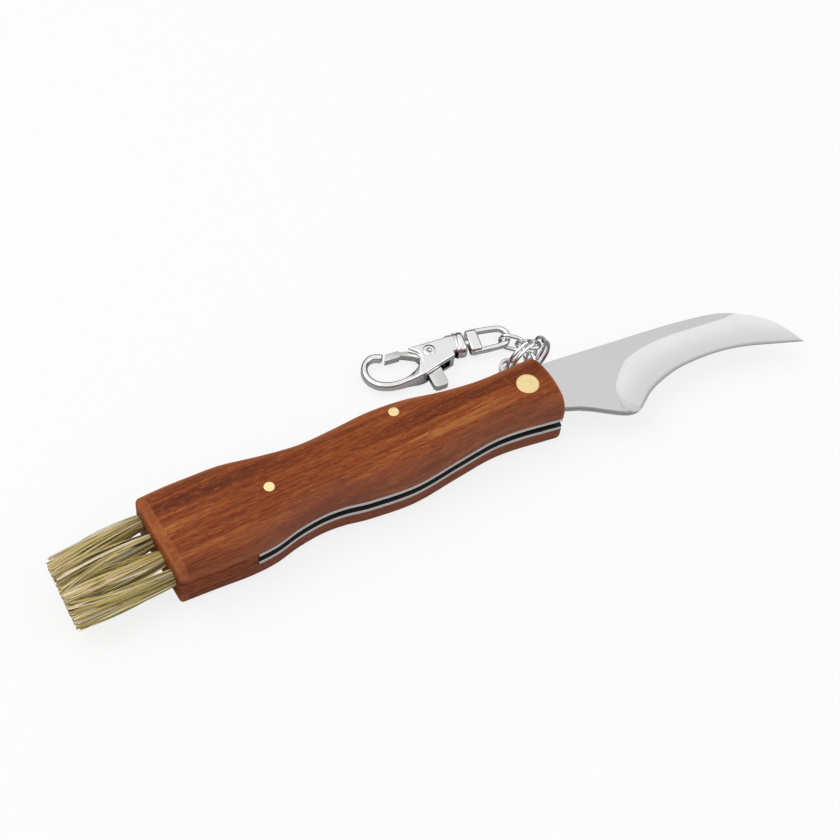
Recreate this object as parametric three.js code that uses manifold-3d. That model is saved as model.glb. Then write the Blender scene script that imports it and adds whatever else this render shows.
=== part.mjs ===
// A folding mushroom knife with a brush in its butt and a snap hook on a short chain, lying open.
// Lengths are in millimetres. The origin is where the blade's pivot axis meets the underside of the
// handle. +X runs along the handle towards the blade's tip, +Y towards the back of the handle, and
// +Z up through the two scales.

import * as THREE from 'three';
import { mergeVertices } from 'three/addons/utils/BufferGeometryUtils.js';
import Module from 'manifold-3d';

const wasm = await Module();
wasm.setup();

// Handle
const HANDLE_REACH = 102.5; // pivot axis to the butt end
const HANDLE_NOSE = 7; // pivot axis to the furthest point of the pivot end
const HANDLE_WIDTH = 24.4; // back to belly at the butt, to which the outline's shares refer
const SCALE_THICKNESS = 6.45;
const LINER_THICKNESS = 1.2;
const EDGE_ROUND = 3.4; // rounding of the scales' long edges
const BUTT_CHAMFER = 2.2;
const BLOCK_LENGTH = 20.2; // butt end to the inner end of the wooden core
const WELL_SEAT_GAP = 0.3; // between that core and the liners
const SPRING_TAIL_GAP = 0.7; // between that core and the back spring
const EDGE_ROUND_SEGMENTS = 4;
const OUTLINE_SEGMENTS = 2; // of each stretch of the handle's outline
const NOSE_SEGMENTS = 10;

// Blade
const BLADE_THICKNESS = 2;
const BLADE_SIDE_GAP = 0.1; // to each liner
const BLADE_REACH = 78; // pivot axis to the tip
const BLADE_WIDTH = 24; // spine to heel, to which the outline's shares refer
const EDGE_THICKNESS = 0.2;
const GRIND_HOLLOW = 0.12; // depth of the hollow grind below a flat one
const GRIND_OVERRUN = 0.9; // how far the grinding runs past the edge and the tip
const TANG_RADIUS = 5.2; // pivot axis to the tang's two flats
const TANG_CORNER = 0.22; // how much further the tang's round reaches
const FOLD_ANGLE = THREE.MathUtils.degToRad(164);
const SPRING_SEAT_GAP = 0.3; // spring's end to the notch behind the tang
const SPRING_SEGMENTS = 1; // of each stretch of the spring's lower side
const GRIND_STEPS = 22;
const GRIND_MIDDLE_SHARE = 0.5; // where across the grind its hollow is deepest
const BLADE_SEGMENTS = 3; // of each stretch of the blade's outline

// Pins
const PIVOT_RADIUS = 3;
const PIN_RADIUS = 1.4;
const PIN_FIT = 0.05; // radial clearance of a pin in its hole

// Lanyard lug on each liner
const LUG_REACH = 2.1; // pivot axis to the hole's centre, along the handle
const LUG_RISE = 2.7944; // handle's back at the pivot end to the hole's centre
const LUG_HOLE_RADIUS = 1.85;
const LUG_WALL = 0.8;
const LUG_FLARE = 1.25; // how much wider the lug's root is than its round, and its lap on the liner
const LUG_SEGMENTS = 14;

// Split ring
const RING_WIRE_RADIUS = 0.5;
const RING_TURN_GAP = 0.45; // between its two turns
const RING_RADIUS = 6.7; // centre to the middle of the wire
const RING_TURN_STEPS = 24;
const RING_WIRE_SIDES = 6;
const RING_YAW = THREE.MathUtils.degToRad(8.5);
const RING_END_TURN = 0.055; // how far each end stops short of two full turns
const RING_END_ANGLE = THREE.MathUtils.degToRad(75);
const RING_LINK_ANGLE = THREE.MathUtils.degToRad(-65.3); // where on the ring the first link hangs

// Chain
const LINK_WIRE_RADIUS = 0.6;
const LINK_LENGTH = 6.2; // between the wire's middles at the two ends
const LINK_WIDTH = 4; // between the wire's middles at the two sides
const LINK_SLACK = 0.4; // clear space between linked wires
const LINK_BEND_STEPS = 8;
const LINK_WIRE_SIDES = 6;

// Brush
const TUFT_COUNT = 4;
const TUFT_SPACING = 5.8;
const TUFT_FIRST = 14.6; // pivot axis to the first tuft, towards the back
const TUFT_RADIUS = 1.9;
const TUFT_HOLE_GAP = 0.1;
const TUFT_HOLE_DEPTH = 12;
const TUFT_RECESS = 1.5; // how far the bound part of a tuft lies inside its hole
const BRUSH_LENGTH = 25.2; // butt end to the trimmed tips
const BRUSH_TRIM_SLANT = 0.06; // extra length for each unit towards the belly
const STRANDS_PER_TUFT = 80;
const STRAND_RADIUS = 0.12;
const STRAND_SIDES = 3;
const TUFT_SIDES = 16;
const BOUND_SHARE = 0.9; // how much of the bound tuft's radius the strands' roots take

// Snap hook, in its own frame: u along it towards the swivel, v across it, rivet at the origin
const CLASP_THICKNESS = 5.2;
const CLASP_ANGLE = THREE.MathUtils.degToRad(-14);
const CLASP_LENGTH = 19.2; // rivet to the hook's far side
const CLASP_SHANK = 10.4; // rivet to the collar's end
const CLASP_WIDTH = 12; // to which the outline's shares across it refer
const HOOK_THICKNESS = 2.6;
const HOOK_ROUND = 0.6;
const HOOK_ROUND_SEGMENTS = 2;
const HOOK_SEGMENTS = 2; // of each stretch of the hook's outline
const SHANK_ROUND = 0.4;
const SHANK_SEGMENTS = 1;
const THROAT_POINTS = 5; // of the hook's inner outline that the shank shares
const SLOT_ROOF = 0.5; // wall over the hub
const ROOF_REACH = 2.3; // rivet to the end of that wall, towards the throat
const SLOT_BACK = 2.6; // rivet to the slot's closed side behind the lever
const THROAT_FLOOR = 2.3; // rivet to the floor of the slot's opening in the throat
const LEVER_THICKNESS = 2;
const LEVER_SIDE_GAP = 0.3;
const LEVER_LENGTH = 10.8; // rivet to the thumb end
const LEVER_WIDTH = 4.1;
const LEVER_SIDE = 1.1; // rivet to the lever's side that faces the swivel
const LEVER_TILT = 8; // degrees, how far the lever leans towards the swivel
const LEVER_CORNER = 1.1;
const LEVER_NECK = 6; // rivet to where the lever reaches its full width
const LEVER_SEGMENTS = 6;
const HUB_RADIUS = 1.6;
const RIVET_RADIUS = 0.95;
const RIVET_HEAD_RADIUS = 1.65;
const RIVET_HEAD_HEIGHT = 0.5;

// Gate spring, a coil pressed between the lever and the end of its slot
const GATE_SPRING_WIRE_RADIUS = 0.15;
const GATE_SPRING_RADIUS = 0.75;
const GATE_SPRING_TURNS = 4;
const GATE_SPRING_START = 1.95; // rivet to the coil's end at the lever
const GATE_SPRING_SEAT_GAP = 0.3;
const GATE_SPRING_OFFSET = 1.3; // rivet to the coil's axis, across the hook
const CURL_STEPS = 8;
const CURL_SIDES = 5;

// Swivel eye
const SWIVEL_GAP = 1; // collar to the eye's base
const SWIVEL_POST_RADIUS = 1;
const SWIVEL_HEAD_RADIUS = 1.55;
const SWIVEL_HEAD_LENGTH = 0.8;
const SWIVEL_FIT = 0.3;
const SWIVEL_SEGMENTS = 16;
const COLLAR_WALL = 1.2;
const COLLAR_WIDTH = 7.2;
const COLLAR_LENGTH = 2.8;
const COLLAR_CORNER = 2.4;
const COLLAR_SEGMENTS = 4;
const COLLAR_MIDDLE = 1.4; // rivet to the swivel's axis, across the hook
const NECK_WIDTH = 6;
const NECK_LENGTH = 1.8;
const NECK_THICKNESS = 4.8;
const NECK_CORNER = 1.6;
const EYE_LENGTH = 12.1; // base's outer face to the eye's tip
const EYE_WIDTH = 7.8;
const EYE_NOSE_RADIUS = 3.6;
const EYE_BAR = 1.4;
const EYE_THICKNESS = 1.8;
const EYE_BASE_LENGTH = 3.2;
const EYE_BASE_WIDTH = 7.2;
const EYE_BASE_THICKNESS = 3.4;
const EYE_HANG = 0.7; // how far short of the eye's end the last link hangs
const EYE_HANG_SIDE = 1; // how far beside the swivel's axis it hangs
const EYE_ROUND = 0.4;
const EYE_ROUND_SEGMENTS = 2;
const EYE_SEGMENTS = 8;

// Shared
const OVERRUN = 6; // how far a cutter or an untrimmed shape runs past what it cuts
const SMALL_OVERRUN = 0.2;
const ROUND_SEGMENTS = 32;
const MERGE_DISTANCE = 1e-4;
const GOLDEN_ANGLE = Math.PI * (3 - Math.sqrt(5));

const WELL_THICKNESS = BLADE_THICKNESS + 2 * BLADE_SIDE_GAP;
const CORE_THICKNESS = WELL_THICKNESS + 2 * LINER_THICKNESS;
const HANDLE_THICKNESS = CORE_THICKNESS + 2 * SCALE_THICKNESS;
const MIDDLE = HANDLE_THICKNESS / 2;
const CORE_LOW = SCALE_THICKNESS;
const CORE_HIGH = SCALE_THICKNESS + CORE_THICKNESS;
const WELL_LOW = CORE_LOW + LINER_THICKNESS;
const WELL_HIGH = WELL_LOW + WELL_THICKNESS;
const BLOCK_END = BLOCK_LENGTH - HANDLE_REACH;
const RING_PITCH = 2 * RING_WIRE_RADIUS + RING_TURN_GAP;
const SLOT_THICKNESS = LEVER_THICKNESS + 2 * LEVER_SIDE_GAP;
const SWIVEL_CAVITY_END = CLASP_SHANK - COLLAR_WALL;
const SLOT_END = SWIVEL_CAVITY_END - SWIVEL_HEAD_LENGTH - 2 * SWIVEL_FIT;
const EYE_START = CLASP_SHANK + SWIVEL_GAP;

// Outline of the handle. Each pair is a share of the reach from the pivot axis towards the butt and a
// share of the width.
const backShares = [
  [1, 0.709], [0.927, 0.713], [0.859, 0.701], [0.78, 0.676], [0.683, 0.586], [0.585, 0.519],
  [0.488, 0.523], [0.39, 0.537], [0.293, 0.496], [0.195, 0.398], [0.098, 0.336], [0, 0.324],
];
const bellyShares = [
  [0, -0.373], [0.078, -0.32], [0.146, -0.307], [0.244, -0.344], [0.371, -0.393], [0.488, -0.34],
  [0.556, -0.279], [0.615, -0.258], [0.683, -0.283], [0.751, -0.34], [0.82, -0.348],
  [0.907, -0.316], [1, -0.287],
];
// Corners of the pivot end: a share of the nose's reach and a share of the width.
const noseBackShares = [0.83, 0.324];
const noseBellyShares = [0.76, -0.41];

// Outline of the blade. Each pair is a share of the blade's reach and a share of its width.
const spineShares = [
  [0.108, 0.322], [0.154, 0.321], [0.256, 0.279], [0.385, 0.221], [0.513, 0.167], [0.641, 0.104],
  [0.778, 0.006], [0.859, -0.124], [0.933, -0.326], [0.975, -0.54], [1, -0.771],
];
const edgeShares = [
  [0.285, -0.654], [0.309, -0.681], [0.336, -0.665], [0.364, -0.612], [0.404, -0.533],
  [0.455, -0.471], [0.538, -0.415], [0.628, -0.41], [0.727, -0.446], [0.812, -0.521],
  [0.897, -0.633], [1, -0.771],
];
const grindShares = [
  [0.272, -0.625], [0.282, -0.483], [0.3, -0.333], [0.326, -0.233], [0.362, -0.133], [0.408, -0.046],
  [0.5, 0], [0.603, -0.012], [0.699, -0.055], [0.795, -0.1], [0.87, -0.135], [1.01, -0.5],
];
const ricassoShares = [[0.256, -0.592], [0.192, -0.429], [0.154, -0.346], [0.106, -0.275]];

// Lower side of the back spring, from its free end to its tail: shares of the handle's reach and width.
const springShares = [
  [-0.02, 0.216], [0.105, 0.216], [0.135, 0.223], [0.166, 0.252], [0.2, 0.305], [0.225, 0.348],
  [0.243, 0.382], [0.272, 0.386], [0.29, 0.36], [0.307, 0.275], [0.338, 0.246], [0.372, 0.275],
  [0.44, 0.3], [0.54, 0.27], [0.62, 0.1], [0.68, 0.05],
];
// The two small pins: shares of the handle's reach and width.
const middlePinShares = [0.3385, 0.3566];
const buttPinShares = [0.709, 0.158];

// Outline of the snap hook. Pairs before the rivet are shares of its length along it, those after the
// rivet are shares of its shank, and across it of its width.
const hookOuterShares = [
  [-0.612, 0.247], [-0.76, 0.292], [-0.92, 0.152], [-0.995, -0.058], [-1, -0.258],
  [-0.94, -0.463], [-0.81, -0.618], [-0.648, -0.686], [-0.5, -0.673], [-0.36, -0.635],
  [-0.16, -0.59],
];
const hookInnerShares = [
  [-0.664, 0.092], [-0.775, 0.137], [-0.858, 0.062], [-0.896, -0.108], [-0.88, -0.293],
  [-0.8, -0.443], [-0.66, -0.523], [-0.495, -0.523], [-0.333, -0.438], [-0.203, -0.298],
  [-0.146, -0.168], [-0.146, -0.038], [-0.17, 0.042],
];
const throatTopShares = [-0.281, 0.171];
const collarTopShares = [0.6, 0.28];
const collarBottomShares = [0.6, -0.261];
// Gate, with the same reference sizes: its lower side towards the hub, then its upper side back.
const gateLowerShares = [
  [-0.632, 0.032], [-0.41, 0.062], [-0.4, 0.107], [-0.26, 0.022], [-0.13, -0.078],
];
const gateUpperShares = [
  [-0.13, 0.05], [-0.27, 0.167], [-0.39, 0.197], [-0.4, 0.232], [-0.595, 0.207],
];

// Brush: how the row of tufts draws together and how each tuft swells, at shares of the free length.
const BRUSH_STATION_SHARES = [0, 0.45, 1];
const BRUSH_SPACING_SHARES = [1, 0.96, 0.75];
const BRUSH_SWELL_SHARES = [0.84, 1.42, 1.1];
const BRUSH_LEAN_SHARE = 0.1; // drop of the row's middle towards the belly, of the tufts' spacing
const BRUSH_RAGGED_SHARE = 0.012; // unevenness of the tips, of the free length

// Direction of each link in degrees, from the ring to the hook, and its turn about that direction.
const linkTurns = [
  { heading: 81.1, pitch: 17.2, roll: 107.6 },
  { heading: 32.4, pitch: -14, roll: 46 },
  { heading: 145.5, pitch: -3.1, roll: 24.1 },
  { heading: 136, pitch: 3.6, roll: 106.7 },
];

const materials = {
  wood: { color: 0x8a3f22, roughness: 0.5, metalness: 0 },
  endWood: { color: 0x7c3a22, roughness: 0.6, metalness: 0 },
  steel: { color: 0xc9ccd0, roughness: 0.28, metalness: 1 },
  bladeSteel: { color: 0xd4d6d8, roughness: 0.34, metalness: 1 },
  brass: { color: 0xe2cf8c, roughness: 0.35, metalness: 1 },
  nickel: { color: 0xd9dadc, roughness: 0.15, metalness: 1 },
  bristle: { color: 0xb3a25c, roughness: 0.75, metalness: 0 },
};

function material(finish) {
  return new THREE.MeshStandardMaterial(materials[finish]);
}

function named(name, body, finish) {
  const geometry = body.isBufferGeometry ? body : geometryOf(body);
  geometry.computeVertexNormals();
  const mesh = new THREE.Mesh(geometry, material(finish));
  mesh.name = name;
  return mesh;
}

// A solid that can be joined and cut, from a closed geometry.
function solid(geometry) {
  const bare = geometry.clone();
  bare.deleteAttribute('normal');
  bare.deleteAttribute('uv');
  const merged = mergeVertices(bare, MERGE_DISTANCE);
  return new wasm.Manifold(new wasm.Mesh({
    numProp: 3,
    vertProperties: new Float32Array(merged.attributes.position.array),
    triVerts: new Uint32Array(merged.index.array),
  }));
}

function geometryOf(body) {
  const { vertProperties, triVerts } = body.getMesh();
  const geometry = new THREE.BufferGeometry();
  geometry.setAttribute('position', new THREE.BufferAttribute(vertProperties, 3));
  geometry.setIndex(new THREE.BufferAttribute(triVerts, 1));
  return geometry;
}

// A plate of an outline, from one height to another.
function plate(shape, low, high, segments = ROUND_SEGMENTS) {
  const geometry = new THREE.ExtrudeGeometry(shape, {
    depth: high - low,
    bevelEnabled: false,
    curveSegments: segments,
  });
  return solid(geometry.translate(0, 0, low));
}

// A plate whose edges are rounded inside its outline.
function roundedPlate(shape, low, high, round, roundSegments, segments = ROUND_SEGMENTS) {
  const geometry = new THREE.ExtrudeGeometry(shape, {
    depth: high - low - 2 * round,
    bevelEnabled: true,
    bevelThickness: round,
    bevelSize: round,
    bevelOffset: -round,
    bevelSegments: roundSegments,
    curveSegments: segments,
  });
  return solid(geometry.translate(0, 0, low + round));
}

// A round bar along Z.
function bar(x, y, radius, low, high, segments = ROUND_SEGMENTS) {
  const geometry = new THREE.CylinderGeometry(radius, radius, high - low, segments);
  return solid(geometry.rotateX(Math.PI / 2).translate(x, y, (low + high) / 2));
}

// A round bar along X.
function crossBar(y, z, radius, from, to, segments = ROUND_SEGMENTS) {
  const geometry = new THREE.CylinderGeometry(radius, radius, to - from, segments);
  return solid(geometry.rotateZ(Math.PI / 2).translate((from + to) / 2, y, z));
}

function rectangle(left, bottom, right, top) {
  const shape = new THREE.Shape();
  shape.moveTo(left, bottom);
  shape.lineTo(right, bottom);
  shape.lineTo(right, top);
  shape.lineTo(left, top);
  return shape;
}

// A skin through rings of points, each running anticlockwise about the way the rings follow.
function loft(rings, closed) {
  const sides = rings[0].length;
  const positions = rings.flat().flatMap((point) => [point.x, point.y, point.z]);
  const index = [];
  const spans = closed ? rings.length : rings.length - 1;
  for (let i = 0; i < spans; i += 1) {
    const near = i * sides;
    const far = ((i + 1) % rings.length) * sides;
    for (let j = 0; j < sides; j += 1) {
      const next = (j + 1) % sides;
      index.push(near + j, near + next, far + next, near + j, far + next, far + j);
    }
  }
  if (!closed) {
    const last = (rings.length - 1) * sides;
    for (let j = 1; j < sides - 1; j += 1) {
      index.push(0, j + 1, j, last, last + j, last + j + 1);
    }
  }
  const geometry = new THREE.BufferGeometry();
  geometry.setAttribute('position', new THREE.Float32BufferAttribute(positions, 3));
  geometry.setIndex(index);
  return geometry;
}

// A ring of points round a centre, anticlockwise about the cross product of its two directions.
function section(centre, first, second, radius, sides) {
  const points = [];
  for (let j = 0; j < sides; j += 1) {
    const turn = (2 * Math.PI * j) / sides;
    points.push(centre.clone()
      .addScaledVector(first, radius * Math.cos(turn))
      .addScaledVector(second, radius * Math.sin(turn)));
  }
  return points;
}

function handlePoint([along, across]) {
  return new THREE.Vector2(-along * HANDLE_REACH, across * HANDLE_WIDTH);
}

function nosePoint([along, across]) {
  return new THREE.Vector2(along * HANDLE_NOSE, across * HANDLE_WIDTH);
}

// The handle's back and belly, run straight on past both ends.
function handleShape() {
  const back = backShares.map(handlePoint);
  const belly = bellyShares.map(handlePoint);
  const noseBack = nosePoint(noseBackShares);
  const noseBelly = nosePoint(noseBellyShares);
  const shape = new THREE.Shape();
  shape.moveTo(-HANDLE_REACH - OVERRUN, back[0].y);
  shape.lineTo(back[0].x, back[0].y);
  shape.splineThru([...back.slice(1), noseBack]);
  shape.lineTo(HANDLE_NOSE + OVERRUN, noseBack.y);
  shape.lineTo(HANDLE_NOSE + OVERRUN, noseBelly.y);
  shape.lineTo(noseBelly.x, noseBelly.y);
  shape.splineThru(belly);
  shape.lineTo(-HANDLE_REACH - OVERRUN, belly[belly.length - 1].y);
  return shape;
}

// Everything behind the pivot end's bow.
function noseTrim(low, high) {
  const noseBack = nosePoint(noseBackShares);
  const noseBelly = nosePoint(noseBellyShares);
  const bow = 2 * HANDLE_NOSE - (noseBack.x + noseBelly.x) / 2;
  const shape = new THREE.Shape();
  shape.moveTo(noseBack.x, noseBack.y);
  shape.lineTo(noseBack.x, HANDLE_WIDTH);
  shape.lineTo(-HANDLE_REACH - OVERRUN, HANDLE_WIDTH);
  shape.lineTo(-HANDLE_REACH - OVERRUN, -HANDLE_WIDTH);
  shape.lineTo(noseBelly.x, -HANDLE_WIDTH);
  shape.lineTo(noseBelly.x, noseBelly.y);
  shape.quadraticCurveTo(bow, (noseBack.y + noseBelly.y) / 2, noseBack.x, noseBack.y);
  return plate(shape, low, high, NOSE_SEGMENTS);
}

// The butt end with its two chamfers, as a bar across the handle.
function buttTrim() {
  const shape = new THREE.Shape();
  shape.moveTo(-HANDLE_REACH + BUTT_CHAMFER, 0);
  shape.lineTo(HANDLE_NOSE + OVERRUN, 0);
  shape.lineTo(HANDLE_NOSE + OVERRUN, HANDLE_THICKNESS);
  shape.lineTo(-HANDLE_REACH + BUTT_CHAMFER, HANDLE_THICKNESS);
  shape.lineTo(-HANDLE_REACH, HANDLE_THICKNESS - BUTT_CHAMFER);
  shape.lineTo(-HANDLE_REACH, BUTT_CHAMFER);
  const geometry = new THREE.ExtrudeGeometry(shape, { depth: 2 * HANDLE_WIDTH, bevelEnabled: false });
  return solid(geometry.rotateX(Math.PI / 2).translate(0, HANDLE_WIDTH, 0));
}

function pinHole(shares, low, high) {
  const place = handlePoint(shares);
  return bar(place.x, place.y, PIN_RADIUS + PIN_FIT, low - SMALL_OVERRUN, high + SMALL_OVERRUN);
}

function pivotHole(low, high) {
  return bar(0, 0, PIVOT_RADIUS + PIN_FIT, low - SMALL_OVERRUN, high + SMALL_OVERRUN);
}

// The whole outer handle, with rounded long edges, a chamfered butt and a bowed pivot end.
function handleBody() {
  const rounded = roundedPlate(
    handleShape(), 0, HANDLE_THICKNESS, EDGE_ROUND, EDGE_ROUND_SEGMENTS, OUTLINE_SEGMENTS,
  );
  return rounded
    .intersect(noseTrim(-SMALL_OVERRUN, HANDLE_THICKNESS + SMALL_OVERRUN))
    .intersect(buttTrim());
}

function scale(name, low, high) {
  const slab = plate(
    rectangle(-HANDLE_REACH - OVERRUN, -HANDLE_WIDTH, HANDLE_NOSE + OVERRUN, HANDLE_WIDTH),
    low,
    high,
  );
  const body = handleBody()
    .intersect(slab)
    .subtract(pivotHole(low, high))
    .subtract(pinHole(middlePinShares, low, high))
    .subtract(pinHole(buttPinShares, low, high));
  return named(name, body, 'wood');
}

// The rounded tab behind the pivot that carries the split ring.
function lug(low, high) {
  const outer = LUG_HOLE_RADIUS + LUG_WALL;
  const corner = nosePoint(noseBackShares);
  const root = corner.y - LUG_FLARE;
  const shape = new THREE.Shape();
  shape.moveTo(LUG_REACH - outer - LUG_FLARE, root);
  shape.lineTo(corner.x, root);
  shape.lineTo(LUG_REACH + outer, lugHeight());
  shape.absarc(LUG_REACH, lugHeight(), outer, 0, Math.PI, false);
  return plate(shape, low, high, LUG_SEGMENTS);
}

function lugHeight() {
  return nosePoint(noseBackShares).y + LUG_RISE;
}

function liner(name, low, high) {
  const wellEnd = plate(
    rectangle(BLOCK_END + WELL_SEAT_GAP, -HANDLE_WIDTH, HANDLE_NOSE + OVERRUN, HANDLE_WIDTH),
    low - SMALL_OVERRUN,
    high + SMALL_OVERRUN,
  );
  const body = plate(handleShape(), low, high, OUTLINE_SEGMENTS)
    .intersect(noseTrim(low - SMALL_OVERRUN, high + SMALL_OVERRUN))
    .intersect(wellEnd)
    .add(lug(low, high))
    .subtract(bar(LUG_REACH, lugHeight(), LUG_HOLE_RADIUS, low - SMALL_OVERRUN, high + SMALL_OVERRUN))
    .subtract(pivotHole(low, high))
    .subtract(pinHole(middlePinShares, low, high))
    .subtract(pinHole(buttPinShares, low, high));
  return named(name, body, 'steel');
}

function tuftPlace(i) {
  return TUFT_FIRST - i * TUFT_SPACING;
}

// The wooden core between the scales at the butt, drilled for the tufts.
function buttBlock() {
  let body = plate(handleShape(), CORE_LOW, CORE_HIGH, OUTLINE_SEGMENTS)
    .intersect(plate(
      rectangle(-HANDLE_REACH, -HANDLE_WIDTH, BLOCK_END, HANDLE_WIDTH),
      CORE_LOW - SMALL_OVERRUN,
      CORE_HIGH + SMALL_OVERRUN,
    ));
  for (let i = 0; i < TUFT_COUNT; i += 1) {
    const radius = TUFT_RADIUS + TUFT_HOLE_GAP;
    const from = -HANDLE_REACH - SMALL_OVERRUN;
    const to = -HANDLE_REACH + TUFT_HOLE_DEPTH;
    body = body.subtract(crossBar(tuftPlace(i), MIDDLE, radius, from, to, TUFT_SIDES));
  }
  return named('butt_block', body, 'endWood');
}

// The slip-joint spring along the back, thin over the folded heel and deep at its tail.
function backSpring() {
  const lower = springShares.map(handlePoint);
  const tail = new THREE.Vector2(BLOCK_END + SPRING_TAIL_GAP, lower[lower.length - 1].y);
  const shape = new THREE.Shape();
  shape.moveTo(spineRoot().x - SPRING_SEAT_GAP, HANDLE_WIDTH);
  shape.lineTo(tail.x, HANDLE_WIDTH);
  shape.lineTo(tail.x, tail.y);
  shape.splineThru([...lower].reverse());
  shape.lineTo(spineRoot().x - SPRING_SEAT_GAP, lower[0].y);
  const body = plate(handleShape(), WELL_LOW, WELL_HIGH, OUTLINE_SEGMENTS)
    .intersect(plate(shape, WELL_LOW - SMALL_OVERRUN, WELL_HIGH + SMALL_OVERRUN, SPRING_SEGMENTS))
    .subtract(pinHole(middlePinShares, WELL_LOW, WELL_HIGH))
    .subtract(pinHole(buttPinShares, WELL_LOW, WELL_HIGH));
  return named('back_spring', body, 'steel');
}

function bladePoint([along, across]) {
  return new THREE.Vector2(along * BLADE_REACH, across * BLADE_WIDTH);
}

function spineRoot() {
  return bladePoint(spineShares[0]);
}

// The blade's outline: spine, edge, the straight choil and the tang with its two flats, one for each
// rest position of the blade.
function bladeShape() {
  const spine = spineShares.map(bladePoint);
  const edge = edgeShares.map(bladePoint).reverse();
  const round = TANG_RADIUS + TANG_CORNER;
  const half = Math.acos(TANG_RADIUS / round);
  const openFlat = Math.PI / 2;
  const closedFlat = openFlat + FOLD_ANGLE;
  const flatDirection = closedFlat + Math.PI / 2;
  const flatLength = TANG_RADIUS;
  const flatEnd = new THREE.Vector2(
    TANG_RADIUS * Math.cos(closedFlat) + flatLength * Math.cos(flatDirection),
    TANG_RADIUS * Math.sin(closedFlat) + flatLength * Math.sin(flatDirection),
  );
  const shape = new THREE.Shape();
  shape.moveTo(spine[0].x, spine[0].y);
  shape.splineThru(spine.slice(1));
  shape.splineThru(edge.slice(1));
  for (const point of ricassoShares.map(bladePoint)) {
    shape.lineTo(point.x, point.y);
  }
  shape.lineTo(flatEnd.x, flatEnd.y);
  shape.absarc(0, 0, round, closedFlat - half, openFlat + half, true);
  shape.lineTo(spine[0].x, TANG_RADIUS);
  return shape;
}

// What the grinding takes off one face, between the grind line and the edge. Near the tip the line runs
// out over the spine, which thins down to the edge there.
function grindCutter(side) {
  const edge = new THREE.SplineCurve(edgeShares.map(bladePoint));
  const grind = new THREE.SplineCurve(grindShares.map(bladePoint));
  const face = BLADE_THICKNESS / 2;
  const drop = face - EDGE_THICKNESS / 2;
  const rings = [];
  for (let i = 0; i <= GRIND_STEPS; i += 1) {
    const share = i / GRIND_STEPS;
    const from = grind.getPoint(share);
    const to = edge.getPoint(share);
    const past = to.clone().add(to.clone().sub(from).setLength(GRIND_OVERRUN));
    const middle = from.clone().lerp(to, GRIND_MIDDLE_SHARE);
    const ring = [
      new THREE.Vector3(from.x, from.y, face),
      new THREE.Vector3(middle.x, middle.y, face - drop * GRIND_MIDDLE_SHARE - GRIND_HOLLOW),
      new THREE.Vector3(to.x, to.y, face - drop),
      new THREE.Vector3(past.x, past.y, face - drop),
      new THREE.Vector3(past.x, past.y, face + BLADE_THICKNESS),
      new THREE.Vector3(from.x, from.y, face + BLADE_THICKNESS),
    ];
    for (const point of ring) {
      point.z = MIDDLE + side * point.z;
    }
    rings.push(side > 0 ? ring.reverse() : ring);
  }
  const tipWay = edge.getTangent(1).multiplyScalar(GRIND_OVERRUN);
  const pastTip = new THREE.Vector3(tipWay.x, tipWay.y, 0);
  rings.push(rings.pop().map((point) => point.add(pastTip)));
  return solid(loft(rings, false));
}

function blade() {
  const low = MIDDLE - BLADE_THICKNESS / 2;
  const high = MIDDLE + BLADE_THICKNESS / 2;
  const body = plate(bladeShape(), low, high, BLADE_SEGMENTS)
    .subtract(grindCutter(1))
    .subtract(grindCutter(-1))
    .subtract(pivotHole(low, high));
  return named('blade', body, 'bladeSteel');
}

function pin(name, x, y, radius) {
  return named(name, bar(x, y, radius, 0, HANDLE_THICKNESS), 'brass');
}

// Where a strand passes at a station, from its place in the bound tuft.
function strandPoint(tuft, across, up, station) {
  const share = BRUSH_STATION_SHARES[station];
  const root = -HANDLE_REACH + TUFT_RECESS + SMALL_OVERRUN;
  const rowMiddle = TUFT_FIRST - (TUFT_COUNT - 1) * TUFT_SPACING / 2;
  const drop = share * BRUSH_LEAN_SHARE * TUFT_SPACING;
  const centre = rowMiddle - drop + (tuftPlace(tuft) - rowMiddle) * BRUSH_SPACING_SHARES[station];
  const y = centre + across * BRUSH_SWELL_SHARES[station];
  const z = MIDDLE + up * BRUSH_SWELL_SHARES[station];
  const uneven = BRUSH_RAGGED_SHARE * BRUSH_LENGTH * Math.sin((across + up) / STRAND_RADIUS);
  const tip = -HANDLE_REACH - BRUSH_LENGTH + uneven + (y - rowMiddle) * BRUSH_TRIM_SLANT;
  return new THREE.Vector3(THREE.MathUtils.lerp(root, tip, share), y, z);
}

// One tuft: its strands, fused to the bound part that sits in the hole.
function tuft(i) {
  const along = new THREE.Vector3(0, 1, 0);
  const up = new THREE.Vector3(0, 0, 1);
  const bound = TUFT_RADIUS * BOUND_SHARE;
  const outer = -HANDLE_REACH + TUFT_RECESS;
  const inner = -HANDLE_REACH + TUFT_HOLE_DEPTH - TUFT_HOLE_GAP;
  let body = crossBar(tuftPlace(i), MIDDLE, TUFT_RADIUS, outer, inner, TUFT_SIDES);
  for (let k = 0; k < STRANDS_PER_TUFT; k += 1) {
    const reach = bound * Math.sqrt((k + 1 / 2) / STRANDS_PER_TUFT);
    const turn = k * GOLDEN_ANGLE;
    const rings = BRUSH_STATION_SHARES.map((_, station) => {
      const centre = strandPoint(i, reach * Math.cos(turn), reach * Math.sin(turn), station);
      return section(centre, up, along, STRAND_RADIUS, STRAND_SIDES);
    });
    body = body.add(solid(loft(rings, false)));
  }
  return named(`tuft_${i + 1}`, body, 'bristle');
}

// Least clear space between stretches of one wire that are more than half a turn apart.
function leastGap(points, pointsPerTurn, wireRadius) {
  let least = Infinity;
  for (let i = 0; i < points.length; i += 1) {
    for (let j = i + Math.ceil(pointsPerTurn / 2); j < points.length; j += 1) {
      least = Math.min(least, points[i].distanceTo(points[j]));
    }
  }
  return least - 2 * wireRadius;
}

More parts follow.
